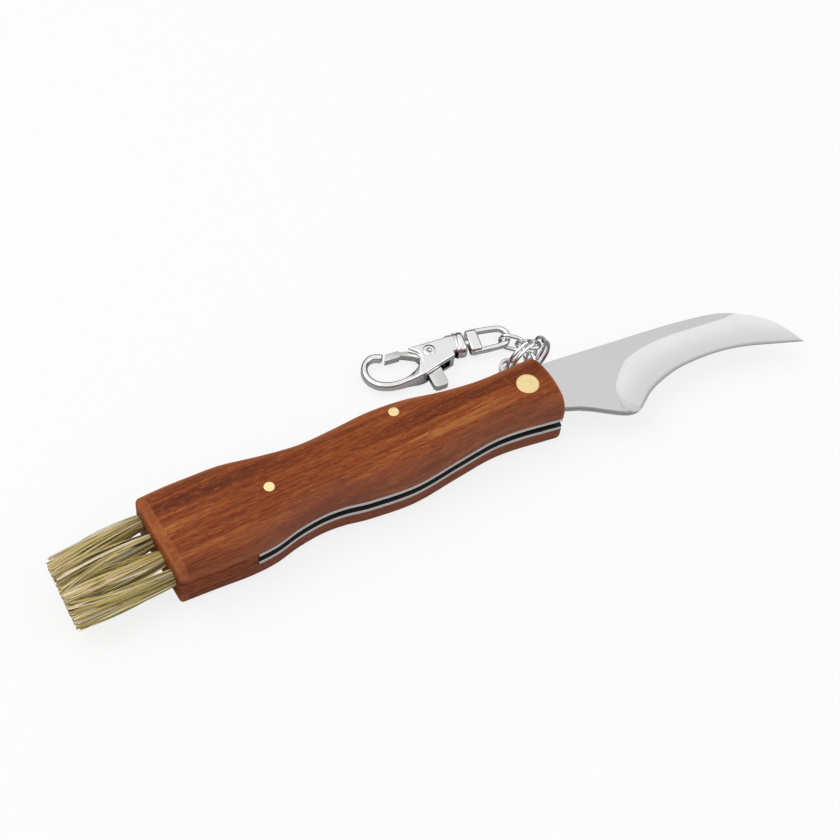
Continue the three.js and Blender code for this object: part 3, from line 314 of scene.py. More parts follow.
def spread(points, count):
    """The polyline's points at count equal steps of its length."""
    p = np.asarray(points, float)
    length = np.concatenate([[0], np.cumsum(np.linalg.norm(np.diff(p, axis=0), axis=1))])
    at = np.linspace(0, length[-1], count)
    return np.stack([np.interp(at, length, p[:, i]) for i in range(p.shape[1])], -1)


def round_off(distance, radius):
    """Drop of a rounded edge at a distance inside it: radius less the height of its circle."""
    inside = radius - np.clip(distance, 0, radius)
    return radius - np.sqrt(np.maximum(radius**2 - inside**2, 0))


def along_handle(shares):
    return np.asarray(shares, float) * (-HANDLE_REACH, HANDLE_WIDTH)


def along_nose(shares):
    return np.asarray([shares], float) * (HANDLE_NOSE, HANDLE_WIDTH)


def along_blade(shares):
    return np.asarray(shares, float) * (BLADE_REACH, BLADE_WIDTH)


CURVE_STEPS = 24
BACK = spline(np.vstack([along_handle(BACK_SHARES), along_nose(NOSE_BACK)]), CURVE_STEPS)
BELLY = spline(np.vstack([along_nose(NOSE_BELLY), along_handle(BELLY_SHARES)]), CURVE_STEPS)[::-1]
SPRING = spline(along_handle(SPRING_SHARES), CURVE_STEPS)[::-1]


def back_at(x):
    return np.interp(x, BACK[:, 0], BACK[:, 1])


def belly_at(x):
    return np.interp(x, BELLY[:, 0], BELLY[:, 1])


def spring_at(x):
    return np.interp(x, SPRING[:, 0], SPRING[:, 1])


def nose_at(y):
    """Bow of the pivot end: the quadratic curve from the belly's corner to the back's, which
    bulges to the nose's reach half way."""
    (back_x, back_y), (belly_x, belly_y) = along_nose(NOSE_BACK)[0], along_nose(NOSE_BELLY)[0]
    t = np.clip((y - belly_y) / (back_y - belly_y), 0, 1)
    bow = 2 * HANDLE_NOSE - (back_x + belly_x) / 2
    return (1 - t) ** 2 * belly_x + 2 * t * (1 - t) * bow + t**2 * back_x


def circle(radius, sides):
    """Points of a circle, as (sides, 2)."""
    turn = np.arange(sides) * TURN / sides
    return radius * np.stack([np.cos(turn), np.sin(turn)], -1)


def box_ring(half_a, half_b, corner, steps=5):
    """Rounded rectangles: each corner's quarter circle about a centre one corner radius inside
    both sides. The sizes may be arrays, one for each ring."""
    half_a, half_b, corner = np.broadcast_arrays(*np.atleast_1d(half_a, half_b, corner))
    corner = np.minimum(corner, np.minimum(half_a, half_b) * 0.999)
    turn = np.linspace(0, TURN / 4, steps + 1)
    turns = (np.arange(4)[:, None] * TURN / 4 + turn).ravel()
    signs = np.repeat([[1, 1], [-1, 1], [-1, -1], [1, -1]], steps + 1, axis=0)
    way = np.stack([np.cos(turns), np.sin(turns)], -1)
    inner = np.stack([half_a - corner, half_b - corner], -1)
    return signs * inner[:, None] + way * corner[:, None, None]


def sweep(centres, first, second, rings):
    """Rings carried along a path: a point is its ring's centre plus its two numbers times the
    ring's two directions."""
    rings = np.broadcast_to(rings, (len(centres),) + np.shape(rings)[-2:])
    first = np.broadcast_to(first, centres.shape)
    second = np.broadcast_to(second, centres.shape)
    return (
        centres[:, None]
        + first[:, None] * rings[..., 0:1]
        + second[:, None] * rings[..., 1:2]
    )


def outward_of(path, normal):
    """Outward directions of a path: its tangent crossed with the normal."""
    outward = np.cross(np.gradient(path, axis=0), normal)
    return outward / np.linalg.norm(outward, axis=1)[:, None]


# Meshes


def grid_faces(rows, cols, round_rows=False, round_cols=True):
    """Quads of a grid of rows by cols points, joined round where a direction closes."""
    i = np.arange(rows if round_rows else rows - 1)[:, None]
    j = np.arange(cols if round_cols else cols - 1)[None, :]
    near, far = i * cols, (i + 1) % rows * cols
    after = (j + 1) % cols
    return np.stack([near + j, near + after, far + after, far + j], -1).reshape(-1, 4)


def tube_faces(rows, cols, closed=False):
    """Faces of a skin through rings, with its ends capped unless the path closes."""
    faces = grid_faces(rows, cols, round_rows=closed).tolist()
    if not closed:
        faces += [list(range(cols))[::-1], list(range((rows - 1) * cols, rows * cols))]
    return faces


def make_piece(name, parts, sharp=35, attributes=None, merge=0):
    """One object of the shells in parts, each a pair of points in millimetres and faces.
    sharp is the angle in degrees past which an edge stays crisp."""
    points = np.vstack([np.reshape(p, (-1, 3)) for p, _ in parts]) * MM
    starts = np.cumsum([0] + [np.size(p) // 3 for p, _ in parts])
    faces = []
    for start, (_, part) in zip(starts, parts):
        faces += [[start + i for i in face] for face in part]
    mesh = bpy.data.meshes.new(name)
    mesh.from_pydata(points, [], faces)
    for key, values in (attributes or {}).items():
        mesh.attributes.new(key, "FLOAT", "POINT").data.foreach_set(
            "value", np.asarray(values, np.float32).ravel()
        )
    turned = bmesh.new()
    turned.from_mesh(mesh)
    if merge:
        bmesh.ops.remove_doubles(turned, verts=turned.verts, dist=merge * MM)
    bmesh.ops.recalc_face_normals(turned, faces=turned.faces)
    turned.to_mesh(mesh)
    turned.free()
    piece = bpy.data.objects.new(name, mesh)
    bpy.context.scene.collection.objects.link(piece)
    shade(piece, sharp)
    return piece


def shade(piece, sharp):
    piece.data.shade_smooth()
    piece.data.set_sharp_from_angle(angle=math.radians(sharp))


def soften(piece, width, segments=3, angle=40):
    """Rounds the piece's crisp edges by a bevel, its width in millimetres."""
    bevel = piece.modifiers.new("Soft edges", "BEVEL")
    bevel.width = width * MM
    bevel.segments = segments
    bevel.limit_method = "ANGLE"
    bevel.angle_limit = math.radians(angle)
    bevel.harden_normals = False
    settle(piece)
    shade(piece, sharp=30)
    return piece


def settle(piece):
    """Puts what the piece's modifiers make into its own mesh."""
    graph = bpy.context.evaluated_depsgraph_get()
    mesh = bpy.data.meshes.new_from_object(piece.evaluated_get(graph))
    piece.modifiers.clear()
    before = piece.data
    piece.data = mesh
    bpy.data.meshes.remove(before)


def combine(piece, others, operation):
    """Joins the other shells to the piece or cuts them out of it, and removes them."""
    for other in others:
        step = piece.modifiers.new("Combine", "BOOLEAN")
        step.operation = operation
        step.solver = "EXACT"
        step.object = other
        settle(piece)
        before = other.data
        bpy.data.objects.remove(other)
        bpy.data.meshes.remove(before)
    shade(piece, sharp=30)
    return piece


def dress(piece, material, body, slot, *nodes):
    """Gives the piece its material and body, and lets it stand for its nodes; slot is not used."""
    piece.data.materials.clear()
    piece.data.materials.append(material)
    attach(piece, body)
    if nodes:
        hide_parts(*nodes)
    return piece


# Shader maths


def maths_method(operation, reflected=False):
    """A method of Number that adds one Math node. A reflected one takes the other value first."""

    def method(self, other):
        pair = (other, self) if reflected else (self, other)
        return self.maths(operation, *pair)

    return method


class Number:
    """A socket in a material's tree. Sums and products of it add Math nodes."""

    __add__ = maths_method("ADD")
    __radd__ = maths_method("ADD", True)
    __sub__ = maths_method("SUBTRACT")
    __rsub__ = maths_method("SUBTRACT", True)
    __mul__ = maths_method("MULTIPLY")
    __rmul__ = maths_method("MULTIPLY", True)
    __truediv__ = maths_method("DIVIDE")
    __rtruediv__ = maths_method("DIVIDE", True)

    def __init__(self, tree, socket):
        self.tree = tree
        self.socket = socket

    def maths(self, operation, *values, clamp=False):
        settings = {"operation": operation, "use_clamp": clamp}
        return self.tree.node("ShaderNodeMath", settings, dict(enumerate(values)))

    def absolute(self):
        return self.maths("ABSOLUTE", self)

    def clamped(self):
        return self.maths("ADD", self, 0.0, clamp=True)

    def smooth(self, low, high):
        """0 below low, 1 above high, and a smooth step between them."""
        settings = {"interpolation_type": "SMOOTHSTEP"}
        return self.tree.node("ShaderNodeMapRange", settings, {0: self, 1: low, 2: high})


class Finish:
    """A material with its tree. node adds any node; the others are short for common ones."""

    def __init__(self, name, tree=None):
        self.material = None
        if tree is None:
            self.material = bpy.data.materials.new(name)
            self.material.use_nodes = True
            tree = self.material.node_tree
            self.surface = tree.nodes["Principled BSDF"]
        self.tree = tree

    def node(self, kind, settings=None, inputs=None, output=0):
        node = self.tree.nodes.new(kind)
        for key, value in (settings or {}).items():
            if key == "stops":
                self.stops(node.color_ramp, value)
            else:
                setattr(node, key, value)
        for key, value in (inputs or {}).items():
            self.feed(node.inputs[key], value)
        return Number(self, node.outputs[output])

    def feed(self, socket, value):
        if isinstance(value, Number):
            self.tree.links.new(value.socket, socket)
        elif socket.type == "RGBA" and len(value) == 3:
            socket.default_value = (*value, 1)
        else:
            socket.default_value = value

    def stops(self, ramp, stops):
        while len(ramp.elements) < len(stops):
            ramp.elements.new(1)
        for element, (position, colour) in zip(ramp.elements, stops):
            element.position = position
            element.color = (*colour, 1)

    def ramp(self, factor, stops):
        return self.node("ShaderNodeValToRGB", {"stops": stops}, {0: factor})

    def mix(self, factor, first, second):
        inputs = {0: factor, 6: first, 7: second}
        return self.node("ShaderNodeMix", {"data_type": "RGBA"}, inputs, 2)

    def place(self, scale, location=(0, 0, 0), rotation=(0, 0, 0)):
        """Object coordinates turned, moved and stretched."""
        where = self.node("ShaderNodeTexCoord", output=3)
        inputs = {0: where, 1: location, 2: rotation, 3: scale}
        return self.node("ShaderNodeMapping", {}, inputs)

    def coordinate(self, output, axis):
        """One axis of a Texture Coordinate: output 1 is the normal, 3 the object's own place."""
        where = self.node("ShaderNodeTexCoord", output=output)
        return self.node("ShaderNodeSeparateXYZ", {}, {0: where}, axis)

    def bend(self, vector, other, amount):
        """A vector pushed along by another one times an amount."""
        push = self.node("ShaderNodeVectorMath", {"operation": "SCALE"}, {0: other, 3: amount})
        return self.node("ShaderNodeVectorMath", {"operation": "ADD"}, {0: vector, 1: push})

    def noise(self, vector, detail=3, roughness=0.5, output=0):
        inputs = {"Vector": vector, "Scale": 1.0, "Detail": detail, "Roughness": roughness}
        return self.node("ShaderNodeTexNoise", {}, inputs, output)

    def attribute(self, name):
        return self.node("ShaderNodeAttribute", {"attribute_name": name}, output=2)

    def bump(self, height, depth, strength=1.0):
        """Normal from a height of 0 to 1, whose full depth is in metres."""
        inputs = {"Height": height, "Distance": depth, "Strength": strength}
        return self.node("ShaderNodeBump", {}, inputs)

    def set(self, **inputs):
        for key, value in inputs.items():
            self.feed(self.surface.inputs[key.replace("_", " ")], value)
        return self.material


def wood(name, settings, seed, tone=0.0):
    """Oiled rosewood: broad soft figure, straight fine fibres and short dark pores along X, a
    painted highlight on the rounded edges and a painted sheen beside the belly. tone darkens the
    whole piece as painted shade."""
    f = Finish(name)
    sway = f.noise(f.place((7, 40, 40), (seed, 0, 0)), 1, output=1)
    figure = f.noise(f.bend(f.place((11, 120, 150), (seed, seed, 0)), sway, 1.2), 2, 0.5)
    streaks = f.noise(f.bend(f.place((34, 900, 900), (0, seed, seed)), sway, 3.0), 3, 0.6)
    fibres = f.noise(f.bend(f.place((220, 3600, 3600), (seed, 0, seed)), sway, 9.0), 3, 0.65)
    flecks = f.noise(f.bend(f.place((420, 2900, 2900), (seed, seed, seed)), sway, 7.0), 2, 0.55)
    grain = figure * 0.42 + streaks * 0.33 + fibres * 0.25
    dark, middle, light = settings.wood_dark, settings.wood_middle, settings.wood_light
    colour = f.ramp(grain.smooth(0.35, 0.65), [
        (0.0, dark), (0.4, middle), (0.72, light), (1.0, settings.wood_gold),
    ])
    pits = flecks.smooth(0.58, 0.68)
    colour = f.mix(pits * 0.6, colour, settings.wood_pore)
    glints = (1 - flecks).smooth(0.58, 0.7) * 0.5
    colour = f.mix(glints, colour, settings.wood_gold)
    # Painted highlight on the rounded edges, the butt's chamfer and end, and the nose.
    highlight_or_haze = (f.attribute("edge") * (0.35 + streaks * 0.9)).clamped()
    colour = f.mix(highlight_or_haze, colour, settings.wood_highlight)
    # Painted sheen: a greyer reflection on the wood beside the belly.
    dusk = f.attribute("dusk") * (0.5 + figure * 0.5)
    colour = f.mix(dusk, colour, settings.wood_belly_sheen)
    # Painted shade: tone darkens the whole piece, so the lower scale and the butt core are shaded
    # copies.
    colour = f.mix(tone, colour, settings.wood_dark)
    f.surface.inputs["Specular IOR Level"].default_value = 0.16
    return f.set(
        Base_Color=colour,
        Roughness=0.42 + fibres * 0.14 + pits * 0.2,
        Normal=f.bump(fibres * 0.6 + streaks * 0.3 - pits * 0.5, 0.00005, 0.5),
    )


STEEL_DEPTH = 0.000004


def steel(name, colour, rough=0.3, lines=STEEL_LINES):
    """Ground steel: fine lines one way and a faint cloud in their gloss."""
    f = Finish(name)
    fine = f.noise(f.place(lines), 3, 0.6)
    cloud = f.noise(f.place(STEEL_CLOUD), 3, 0.5)
    darker = tinted(colour, DARKER_STEEL)
    return f.set(
        Base_Color=f.mix(fine * 0.5 + cloud * 0.3, darker, colour),
        Metallic=1.0,
        Roughness=rough + (fine - 0.5) * 0.12 + (cloud - 0.5) * 0.1,
        Normal=f.bump(fine, STEEL_DEPTH, 0.7),
    )


def liner_steel(name, settings):
    """Polished edges and lug, and flat faces painted dark as shade where the blade folds in
    between.
    """
    f = Finish(name)
    fine = f.noise(f.place(STEEL_LINES), 3, 0.6)
    cloud = f.noise(f.place(STEEL_CLOUD), 3, 0.5)
    facing = f.coordinate(1, 2).absolute().smooth(0.5, 0.85)
    # Painted shade on the flat faces inside the blade's well, up to the lug's foot.
    well_shade_mask = facing * (1 - f.coordinate(3, 1).smooth(*LUG_FOOT))
    darker = tinted(settings.liner, DARKER_STEEL)
    bright = f.mix(fine * 0.5 + cloud * 0.3, darker, settings.liner)
    return f.set(
        Base_Color=f.mix(well_shade_mask, bright, settings.well_shade),
        Metallic=0.5,
        Roughness=0.26 + fine * 0.1 + well_shade_mask * 0.3,
        Normal=f.bump(fine, STEEL_DEPTH, 0.7),
    )


def blade_steel(name, settings):
    """Satin flats, a hollow grind painted brighter as a reflection that greys towards the edge as
    painted shade, and a keen edge painted dark as shade. Height above the blade's middle plane
    tells them apart."""
    f = Finish(name)
    fine = f.noise(f.place((2600, 180, 900), rotation=(0, 0, 0.15)), 4, 0.65)
    cloud = f.noise(f.place((60, 60, 60)), 3, 0.5)
    height = (f.coordinate(3, 2) / MM - MIDDLE).absolute()
    grind = 1 - height.smooth(*GRIND_LINE)
    # Painted reflection: the hollow grind brighter than the flats; painted shade greys it towards
    # the edge.
    ground = f.mix(height.smooth(*GROUND_BLEND), settings.ground_shade, settings.ground)
    colour = f.mix(grind, settings.flat, ground)
    # Painted shade on the keen edge; the next line uses the same colour for real scratches.
    colour = f.mix(1 - height.smooth(*EDGE_SHADE_BAND), colour, settings.edge_shade_and_scratches)
    colour = f.mix(fine * 0.12 + cloud * 0.1, colour, settings.edge_shade_and_scratches)
    return f.set(
        Base_Color=colour,
        Metallic=1.0,
        Roughness=settings.roughness + (fine - 0.5) * 0.1 + (cloud - 0.5) * 0.08 - grind * 0.08,
        Normal=f.bump(fine, 0.0000003, 0.12),
    )


def brass(name, settings):
    """Pale brass, filed flush: fine scratches, cloudier and browner towards the rim."""
    f = Finish(name)
    fine = f.noise(f.place((400, 3000, 400), rotation=(0, 0, 0.6)), 3, 0.6)
    cloud = f.noise(f.place((500, 500, 500)), 3, 0.55)
    rim = f.attribute("edge")
    tarnish = (rim * 0.5 + cloud.smooth(0.5, 0.75) * 0.25).clamped()
    return f.set(
        Base_Color=f.mix(tarnish, settings.brass, settings.brass_dark),
        Metallic=1.0,
        Roughness=0.3 + (fine - 0.5) * 0.16 + tarnish * 0.2,
        Normal=f.bump(fine, 0.000006, 0.6),
    )


def nickel(name, colour, rough=0.1):
    """Nickel plate over a casting: bright and clean, its gloss a little uneven, and painted dark
    as shade where the mesh marks a hollow."""
    f = Finish(name)
    swell = f.noise(f.place((170, 170, 170)), 2, 0.4)
    haze = f.noise(f.place((900, 900, 900)), 3, 0.6)
    # Painted shade where the mesh marks a hollow.
    hollow = f.attribute("hollow")
    highlight_or_haze = f.mix(haze * 0.5, colour, tinted(colour, DARKER_NICKEL))
    return f.set(
        Base_Color=f.mix(hollow, highlight_or_haze, tinted(colour, HOLLOW_PAINTED_SHADE)),
        Metallic=1.0,
        Roughness=rough + haze * 0.06,
        Normal=f.bump(swell, 0.00003, 0.25),
    )


def straw(name, settings):
    """Dry grass strands: each from pale straw to olive or dark grey, streaked along it."""
    f = Finish(name)
    shade_of = f.attribute("shade")
    streak = f.noise(f.place((130, 2600, 2600)), 3, 0.6)
    tone = (shade_of + (streak - 0.5) * 0.55).clamped()
    colour = f.ramp(tone, [
        (0.0, settings.straw_dark), (0.13, settings.straw_grey), (0.3, settings.straw_olive),
        (0.55, settings.straw_yellow), (0.78, settings.straw_pale), (1.0, settings.straw_white),
    ])
    return f.set(
        Base_Color=colour,
        Roughness=0.5 + streak * 0.25,
        Normal=f.bump(streak, 0.00004, 0.7),
    )


# Sizes and colours that a user would change


def colour_property(label, use, code):
    return FloatVectorProperty(
        name=label, description=use, subtype="COLOR", size=3, min=0, max=1, default=srgb(code)
    )


def length_property(label, use, size):
    return FloatProperty(
        name=label, description=use, default=size * MM, min=0, unit="LENGTH", subtype="DISTANCE"
    )


class HandleSettings(bpy.types.PropertyGroup):
    """Wood, pins and liners of the handle."""

    nose_round: length_property("Nose round", "Rounding of the pivot end's edge", 0.9)
    butt_round: length_property("Butt round", "Rounding of the butt's upright corners", 1.1)
    joint_chamfer: length_property("Joint chamfer", "Tiny bevel along the glue lines", 0.1)
    pin_rise: length_property("Pin rise", "How far a pin stands out of the wood", 0.05)
    wood_dark: colour_property("Dark streaks", "Darkest wood", 0x54220E)
    wood_middle: colour_property("Wood", "Main colour of the wood", 0x7D3815)
    wood_light: colour_property("Light wood", "Lighter streaks", 0x934A20)
    wood_gold: colour_property("Golden wood", "Lightest flecks", 0xB27036)
    # Painted highlight on the rounded edges.
    wood_highlight: colour_property("Painted edge highlight", "Wood at the rounded edges", 0xB56A3E)
    wood_pore: colour_property("Pores", "Short dark pores", 0x4A1F0C)
    # Painted sheen beside the belly.
    wood_belly_sheen: colour_property("Painted belly sheen", "Greyer wood beside the belly", 0x7A4A3A)
    liner: colour_property("Liners", "Steel of the liners", 0xE2DFDC)
    # Painted shade: the steel inside the blade's well, also given to the back spring.
    well_shade: colour_property("Well", "Steel inside the blade's well", 0x29292B)
    brass: colour_property("Brass", "Pins' faces", 0xF0D9A2)
    brass_dark: colour_property("Tarnish", "Pins' rims", 0xC8AA6C)


class BladeSettings(bpy.types.PropertyGroup):
    """Steel of the blade."""

    flat: colour_property("Flat", "Satin flats of the blade", 0xD2D2D2)
    # Painted reflection: the hollow grind's brighter colour.
    ground: colour_property("Ground face", "Hollow grind beside the grind line", 0xEDEDED)
    # Painted shade: the hollow grind beside the edge.
    ground_shade: colour_property("Ground edge", "Hollow grind beside the edge", 0xD9D9D9)
    # Painted shade on the keen edge, and the colour of the scratches.
    edge_shade_and_scratches: colour_property("Keen edge", "The edge itself, and scratches", 0xA6A6A6)
    roughness: FloatProperty(
        name="Satin", description="Roughness of the flats", default=0.36, min=0, max=1,
        subtype="FACTOR",
    )


class BrushSettings(bpy.types.PropertyGroup):
    """Tufts of the brush."""

    strands: IntProperty(
        name="Strands", description="Strands in each tuft", default=130, min=20, max=400
    )
    strand_width: length_property("Strand width", "Usual width of a strand", 0.5)
    ragged: length_property("Ragged tips", "How unevenly the tips end", 1.6)
    straw_dark: colour_property("Dark straw", "Nearly black strands", 0x3A352A)
    straw_grey: colour_property("Grey straw", "Grey strands", 0x8D8870)
    straw_olive: colour_property("Olive straw", "Greenish strands", 0xA49448)
    straw_yellow: colour_property("Yellow straw", "Main colour of the strands", 0xC9B570)
    straw_pale: colour_property("Pale straw", "Pale tan strands", 0xE2CDA0)
    straw_white: colour_property("Bleached straw", "Lightest strands", 0xF2E8D4)


class HookSettings(bpy.types.PropertyGroup):
    """Ring, chain and snap hook."""

    nickel: colour_property("Nickel", "Nickel plate", 0xE9E9EA)
    satin: colour_property("Satin nickel", "Gate and thumb lever", 0xCFCFCD)
    spring: colour_property("Spring steel", "Small coil behind the lever", 0xB9BBBE)


class StageSettings(bpy.types.PropertyGroup):
    """Floor, light and camera."""

    floor: colour_property("Floor", "Colour of the floor", 0xF6F6F6)
    sky: FloatProperty(
        name="Soft light", description="Light from all round", default=0.62, min=0, max=2
    )
    key: FloatProperty(
        name="Key lamp", description="Power of the large lamp", default=2.6, min=0, max=50,
        unit="POWER",
    )
    fill: FloatProperty(
        name="Fill lamp", description="Power of the lamp at the other side", default=0.9, min=0,
        max=50, unit="POWER",
    )


def settings_of(context, name):
    return getattr(context.scene, "knife_" + name)


# Handle


def slab(stations, upper, lower, low, high, low_round, high_round, shear=None, relief=None,
         steps=8, across=9):
    """Plate between the curves y = upper(x) and y = lower(x). Each station is a ring: the top's
    quarter circle in from the upper curve, the flat, the quarter circle out to the lower curve,
    then the same below. shear(x, y) moves a point along X, and relief(x, y, z) gives the top's
    own height.
    Gives the points, the faces and each point's distance inside the outline."""
    turn = np.linspace(0, TURN / 4, steps + 1)
    share = np.linspace(0, 1, across)[1:-1]
    ends, flat = len(turn), len(share)

    def ring(radius):
        inset = radius * (1 - np.cos(turn))
        x = np.repeat(stations[:, None], 2 * ends + flat, axis=1)
        for _ in range(SHEAR_PASSES):
            top, bottom = upper(x), lower(x)
            level = (top[:, :flat] - radius) * (1 - share) + (bottom[:, :flat] + radius) * share
            y = np.concatenate(
                [top[:, :ends] - inset, level, bottom[:, :ends] + inset[::-1]], axis=1
            )
            if shear is None:
                break
            x = shear(stations[:, None], y)
        return x, y

    x_high, y_high = ring(high_round)
    x_low, y_low = ring(low_round)
    inside_high = np.minimum(upper(x_high) - y_high, y_high - lower(x_high))
    inside_low = np.minimum(upper(x_low) - y_low, y_low - lower(x_low))
    z_high = high - round_off(inside_high, high_round)
    z_low = low + round_off(inside_low, low_round)
    if relief is not None:
        z_high = relief(x_high, y_high, z_high)
    outer = np.stack([x_high, y_high, z_high], -1)
    inner = np.stack([x_low, y_low, z_low], -1)[:, ::-1]
    rings = np.concatenate([outer, inner], axis=1)
    rows, cols = rings.shape[:2]
    half = cols // 2
    cap = np.arange(half - 1)
    first = np.stack([cap, cap + 1, cols - 2 - cap, cols - 1 - cap], -1)
    faces = grid_faces(rows, cols).tolist() + first.tolist()
    faces += ((rows - 1) * cols + first[:, ::-1]).tolist()
    depth = np.concatenate([inside_high, inside_low[:, ::-1]], axis=1)
    return rings, faces, depth


def nose_shear(x, y):
    """Stations near the pivot end lean over to follow its bow, wholly so at the end."""
    share = np.clip((x + NOSE_LEAN_RUN) / (HANDLE_NOSE + NOSE_LEAN_RUN), 0, 1)
    return x + share**2 * (3 - 2 * share) * (nose_at(y) - HANDLE_NOSE)


def butt_stations(start, end, fine, count):
    """Stations from start to end, closer together near both ends and at the chamfer's line."""
    near = np.linspace(0, fine, 14)[:-1] ** 2 / fine
    near = np.concatenate([near, np.linspace(fine, END_RUN, 8)])
    line = start + BUTT_CHAMFER + np.array([-0.3, -0.15, -0.05, 0.05, 0.15, 0.3])
    middle = np.linspace(start + END_RUN, end - END_RUN, count)
    return np.unique(np.concatenate([start + near, line, middle, end - near]))


def butt_sides(settings):
    """The handle's back and belly, drawn in by the rounding of the butt's upright corners."""
    corner = settings.butt_round / MM

    def upper(x):
        return back_at(x) - round_off(x + HANDLE_REACH, corner)

    def lower(x):
        return belly_at(x) + round_off(x + HANDLE_REACH, corner)

    return upper, lower


def scale(name, settings, flip):
    """One wooden scale. The outer face drops by the edges' rounding, the nose's rounding, and
    at the butt to a flat chamfer that meets the face in a smooth maximum."""
    nose_round = settings.nose_round / MM
    pin_rise = settings.pin_rise / MM
    upper, lower = butt_sides(settings)

    def relief(x, y, z):
        drop = HANDLE_THICKNESS - z + round_off(nose_at(y) - x, nose_round)
        slope = BUTT_CHAMFER - (x + HANDLE_REACH)
        share = np.clip(0.5 + (drop - slope) / (2 * CHAMFER_BLEND), 0, 1)
        drop = slope + (drop - slope) * share + CHAMFER_BLEND * share * (1 - share)
        end = round_off(x + HANDLE_REACH, END_ARRIS)
        return HANDLE_THICKNESS - pin_rise - drop - end

    stations = butt_stations(-HANDLE_REACH, HANDLE_NOSE, fine=2, count=110)
    rings, faces, depth = slab(
        stations, upper, lower, CORE_HIGH, HANDLE_THICKNESS, settings.joint_chamfer / MM,
        EDGE_ROUND, nose_shear, relief, steps=10, across=14,
    )
    edge, dusk = painted_light_places(rings, depth, lower)
    if flip:
        rings = rings * (1, 1, -1) + (0, 0, HANDLE_THICKNESS)
    return make_piece(name, [(rings, faces)], 50, {"edge": edge, "dusk": dusk})


def painted_light_places(rings, depth, lower):
    """How far a scale's points get a painted highlight and how far a painted sheen. The highlight
    is the greatest of a straight fall from the back, the chamfer, a bell about the end's edge and
    a straight fall from the nose. The sheen is a bell above the belly that fades at the butt."""
    x, y, z = np.moveaxis(rings, -1, 0)
    to_end = x + HANDLE_REACH
    back = np.clip(HIGHLIGHT_BACK_PEAK * (1 - depth / HIGHLIGHT_BACK), 0, 1)
    back = back * np.where(y > HIGHLIGHT_BACK_FROM, 1, HIGHLIGHT_BELLY_SHARE)
    fade = HIGHLIGHT_CHAMFER_FADE
    highlight_or_haze = {
        "back": back,
        "chamfer": np.clip((BUTT_CHAMFER + fade / 2 - to_end) / fade, 0, 1),
        "arris": np.exp(-(((to_end - HIGHLIGHT_ARRIS_AT) / HIGHLIGHT_ARRIS_WIDTH) ** 2)),
        "nose": 1 - np.clip((nose_at(y) - x) / HIGHLIGHT_NOSE, 0, 1),
    }
    edge = np.maximum.reduce([highlight_or_haze[key] * weight for key, weight in HIGHLIGHT_WEIGHTS.items()])
    # Painted sheen: a bell above the belly, fading at the butt.
    below = np.clip(y - lower(x), 0, None)
    dusk = SHEEN_PEAK * np.exp(-((below / SHEEN_WIDTH) ** 2))
    dusk = dusk * np.clip((to_end - SHEEN_FROM) / SHEEN_RUN, SHEEN_LEAST, 1)
    return edge * (z > CORE_HIGH + 1), dusk


def butt_block(settings):
    """The core between the scales at the butt, with the mouths of the four tuft holes."""
    upper, lower = butt_sides(settings)
    chamfer = settings.joint_chamfer / MM
    stations = butt_stations(-HANDLE_REACH, BLOCK_END, fine=2, count=14)
    rings, faces, _ = slab(
        stations, upper, lower, CORE_LOW, CORE_HIGH, chamfer, chamfer, steps=2, across=4
    )
    block = make_piece("butt_core", [(rings, faces)], 50)
    path = np.array([(-HANDLE_REACH - 1, 0, 0), (-HANDLE_REACH + TUFT_HOLE_SHOWN, 0, 0)], float)
    holes = []
    for i in range(TUFT_COUNT):
        centres = path + (0, TUFT_FIRST - i * TUFT_SPACING, MIDDLE)
        points = sweep(centres, (0, 1, 0), (0, 0, 1), circle(TUFT_HOLE_RADIUS, 32))
        holes.append(make_piece("hole", [(points, tube_faces(2, 32))]))
    return combine(block, holes, "DIFFERENCE")


def liner(name, low, high):
    """One steel liner with its lug and the lug's hole."""
    stations = butt_stations(-WELL_LENGTH, HANDLE_NOSE, fine=1, count=90)
    rings, faces, _ = slab(
        stations, back_at, belly_at, low, high, LINER_ROUND, LINER_ROUND, nose_shear, steps=2,
        across=6,
    )
    plate = make_piece(name, [(rings, faces)], 50)
    tab = prism_of(lug_outline(), low + LUG_INSET, high - LUG_INSET)
    prism = make_piece("lug", [tab], 50)
    soften(prism, LUG_ROUND, 2)
    hole = circle(LUG_HOLE, 40) + LUG_CENTRE
    cutter = make_piece("hole", [prism_of(hole, low - 1, high + 1)])
    combine(plate, [prism], "UNION")
    return combine(plate, [cutter], "DIFFERENCE")


def lug_outline():
    """Straight sides from inside the liner up to a half circle about the hole."""
    root = along_nose(NOSE_BACK)[0]
    x, y = LUG_CENTRE
    turn = np.linspace(0, math.pi, 28)
    arc = np.stack([np.cos(turn), np.sin(turn)], -1) * LUG_OUTER + (x, y)
    low = root[1] - LUG_FLARE
    return np.vstack([[(x - LUG_OUTER - LUG_FLARE, low), (root[0], low)], arc])


def prism_of(outline, low, high, frame_of=None):
    """Points and faces of an upright prism over an outline of (x, y) points."""
    outline = np.asarray(outline, float)
    count = len(outline)
    bottom = np.hstack([outline, np.full((count, 1), low)])
    top = np.hstack([outline, np.full((count, 1), high)])
    points = np.vstack([bottom, top])
    if frame_of is not None:
        points = frame_of(points)
    return points, tube_faces(2, count)


def back_spring():
    """The spring between the liners, from the handle's back down to its own lower curve."""
    stations = np.linspace(SPRING_TAIL, SPRING_FRONT, 150)
    rings, faces, _ = slab(
        stations, back_at, spring_at, WELL_LOW + SPRING_SIDE_GAP, WELL_HIGH - SPRING_SIDE_GAP,
        SPRING_ROUND, SPRING_ROUND, steps=2, across=4,
    )
    return make_piece("spring_bar", [(rings, faces)], 50)


